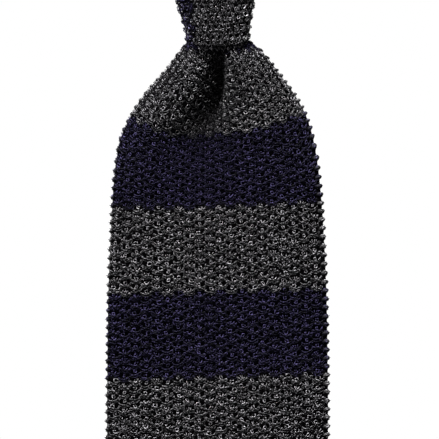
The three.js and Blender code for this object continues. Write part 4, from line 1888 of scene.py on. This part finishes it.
@dataclass(frozen=True)
class Studio:
    """A pale floor, soft lights and the camera at the photograph's angle."""

    camera_x: float = 0.6
    camera_z: float = -146.8
    camera_distance: float = 1000.0
    frame_width: float = 137.9
    sensor_width: float = 36.0  # this one stays in millimetres
    floor_z: float = -620.0
    floor_radius: float = 3000.0
    floor_sides: int = 96
    floor_colour: str = "#e4e3e1"
    floor_roughness: float = 0.8
    floor_glow: float = 0.75
    fill_strength: float = 0.2
    target: tuple[float, float, float] = (0.0, -137.0, -147.0)
    # Narrow beams keep the light off the floor
    lamps: tuple[Lamp, ...] = (
        Lamp("key_light", (-150, -440, 755), 350, 4.6, 50),
        Lamp("back_light", (0, 900, 600), 700, 5, 40),
        Lamp("side_light", (-900, -500, 200), 700, 1.5, 40),
    )

    def build(self) -> None:
        """Makes everything that isn't the tie."""
        self.world()
        self.floor()
        for lamp in self.lamps:
            lamp.light(Vector(self.target) * MM)
        self.camera()

    def world(self) -> None:
        """White behind the tie, and a dimmer white that lights it from everywhere."""
        world = bpy.data.worlds.new("studio")
        bpy.context.scene.world = world
        world.use_nodes = True
        tree = world.node_tree
        tree.nodes.clear()
        path = add_node(tree, "ShaderNodeLightPath")
        colour = linear_colour("#ffffff")
        fill = add_node(tree, "ShaderNodeBackground", {
            "Color": colour, "Strength": self.fill_strength,
        })
        white = add_node(tree, "ShaderNodeBackground", {"Color": colour, "Strength": 1.0})
        mixed = add_node(tree, "ShaderNodeMixShader", {
            0: path.outputs["Is Camera Ray"], 1: fill, 2: white,
        })
        add_node(tree, "ShaderNodeOutputWorld", {"Surface": mixed})
        bpy.context.scene.view_settings.view_transform = "Standard"

    def floor(self) -> None:
        """A round floor below the hanging ends."""
        turn = [2 * math.pi * i / self.floor_sides for i in range(self.floor_sides)]
        radius = self.floor_radius * MM
        ring = [(radius * math.cos(a), radius * math.sin(a), self.floor_z * MM) for a in turn]
        mesh = bpy.data.meshes.new("floor")
        mesh.from_pydata(ring, [], [tuple(range(self.floor_sides))])
        floor = bpy.data.objects.new("floor", mesh)
        bpy.context.scene.collection.objects.link(floor)
        # Paint dries to one even, dull colour
        made = bpy.data.materials.new("painted_floor")
        made.use_nodes = True
        shader = made.node_tree.nodes["Principled BSDF"]
        shader.inputs["Base Color"].default_value = linear_colour(self.floor_colour)
        shader.inputs["Roughness"].default_value = self.floor_roughness
        # The floor glows like a light table, and throws none of it up on the dark cloth
        shader.inputs["Emission Color"].default_value = linear_colour(self.floor_colour)
        shader.inputs["Emission Strength"].default_value = self.floor_glow
        floor.visible_diffuse = False
        floor.visible_glossy = False
        mesh.materials.append(made)

    def camera(self) -> None:
        """Looks straight at the front, level, from a metre away."""
        lens = bpy.data.cameras.new("camera")
        lens.sensor_width = self.sensor_width
        lens.lens = self.sensor_width * self.camera_distance / self.frame_width
        lens.clip_start = 0.05
        lens.clip_end = 20.0
        camera = bpy.data.objects.new("camera", lens)
        front = BLADE_Y - CLOTH / 2
        camera.location = Vector((self.camera_x, front - self.camera_distance, self.camera_z)) * MM
        camera.rotation_euler = (math.pi / 2, 0.0, 0.0)
        bpy.context.scene.collection.objects.link(camera)
        bpy.context.scene.camera = camera


@dataclass
class Necktie:
    """The whole tie, as the stretches of cloth that it is made of."""

    band_length: float = 462.0
    wrap_length: float = 75.0
    passage_width: float = 16.0
    passage_length: float = 85.0
    blade_length: float = 462.0

    def runs(self) -> list[ClothRun]:
        """The stretches, in the order in which the real tie runs.

        Returns:
            The stretches.
        """
        return [
            NeckBand(
                "neck_band", BAND_WIDTH, self.band_length, columns=20, rows=173, held=Held.FOLDED,
                rests_on=("knot_wrap",), seed=3, cloth_yarn=Yarn.NAVY,
            ),
            KnotWrap(
                "knot_wrap", KNOT_HEIGHT, self.wrap_length, columns=24, rows=28, closed=True,
                held=Held.FOLDED, rests_on=("knot_passage",), seed=11, loop_half=1.1,
                inner_half=0.85, loop_inset=0.1, inner_inset=0.6, edge_bundles=False,
            ),
            KnotPassage(
                "knot_passage", self.passage_width, self.passage_length, columns=10, rows=32,
                held=Held.FOLDED, rests_on=("neck_band",), seed=5,
            ),
            FrontBlade(
                "front_blade", BLADE_WIDTH, self.blade_length, columns=42, rows=173, first_row=-2,
                rests_on=("knot_wrap",), seed=7, loop_inset=-0.1,
            ),
            TailBlade(
                "tail_blade", TAIL_WIDTH, TAIL_LENGTH, columns=28, rows=148,
                rests_on=("knot_wrap",), seed=9, loop_inset=-0.1, cloth_yarn=Yarn.NAVY,
            ),
        ]

    def build(self) -> None:
        """Dresses every stretch."""
        yarns = {
            Yarn.CHARCOAL: SilkYarn("charcoal_dyed_silk_yarn_knitted", "#8b898d", 0.22).material(),
            Yarn.NAVY: SilkYarn("navy_dyed_silk_yarn_knitted", "#3d3859", 0.14).material(),
        }
        # The inner cloth's near-black colours are painted shade
        inner = InnerLoops("shadowed_inner_silk_loops_knitted", "#131214", "#0c0b12").material()
        workshop = Workshop(KnitField(), StitchForms(), yarns, inner)
        for run in self.runs():
            run.dress(workshop)
        workshop.forms.discard()


def clear_startup_objects() -> None:
    """Removes whatever Blender starts with beside the frame."""
    kept = set(frame["nodes"].values()) | set(frame["bodies"].values())
    for item in list(bpy.context.scene.objects):
        if item not in kept:
            bpy.data.objects.remove(item)


def main() -> None:
    """Builds the studio and the tie."""
    logging.basicConfig(level=logging.INFO, format="%(name)s %(message)s")
    clear_startup_objects()
    Studio().build()
    Necktie().build()


if __name__ == "__main__":
    main()
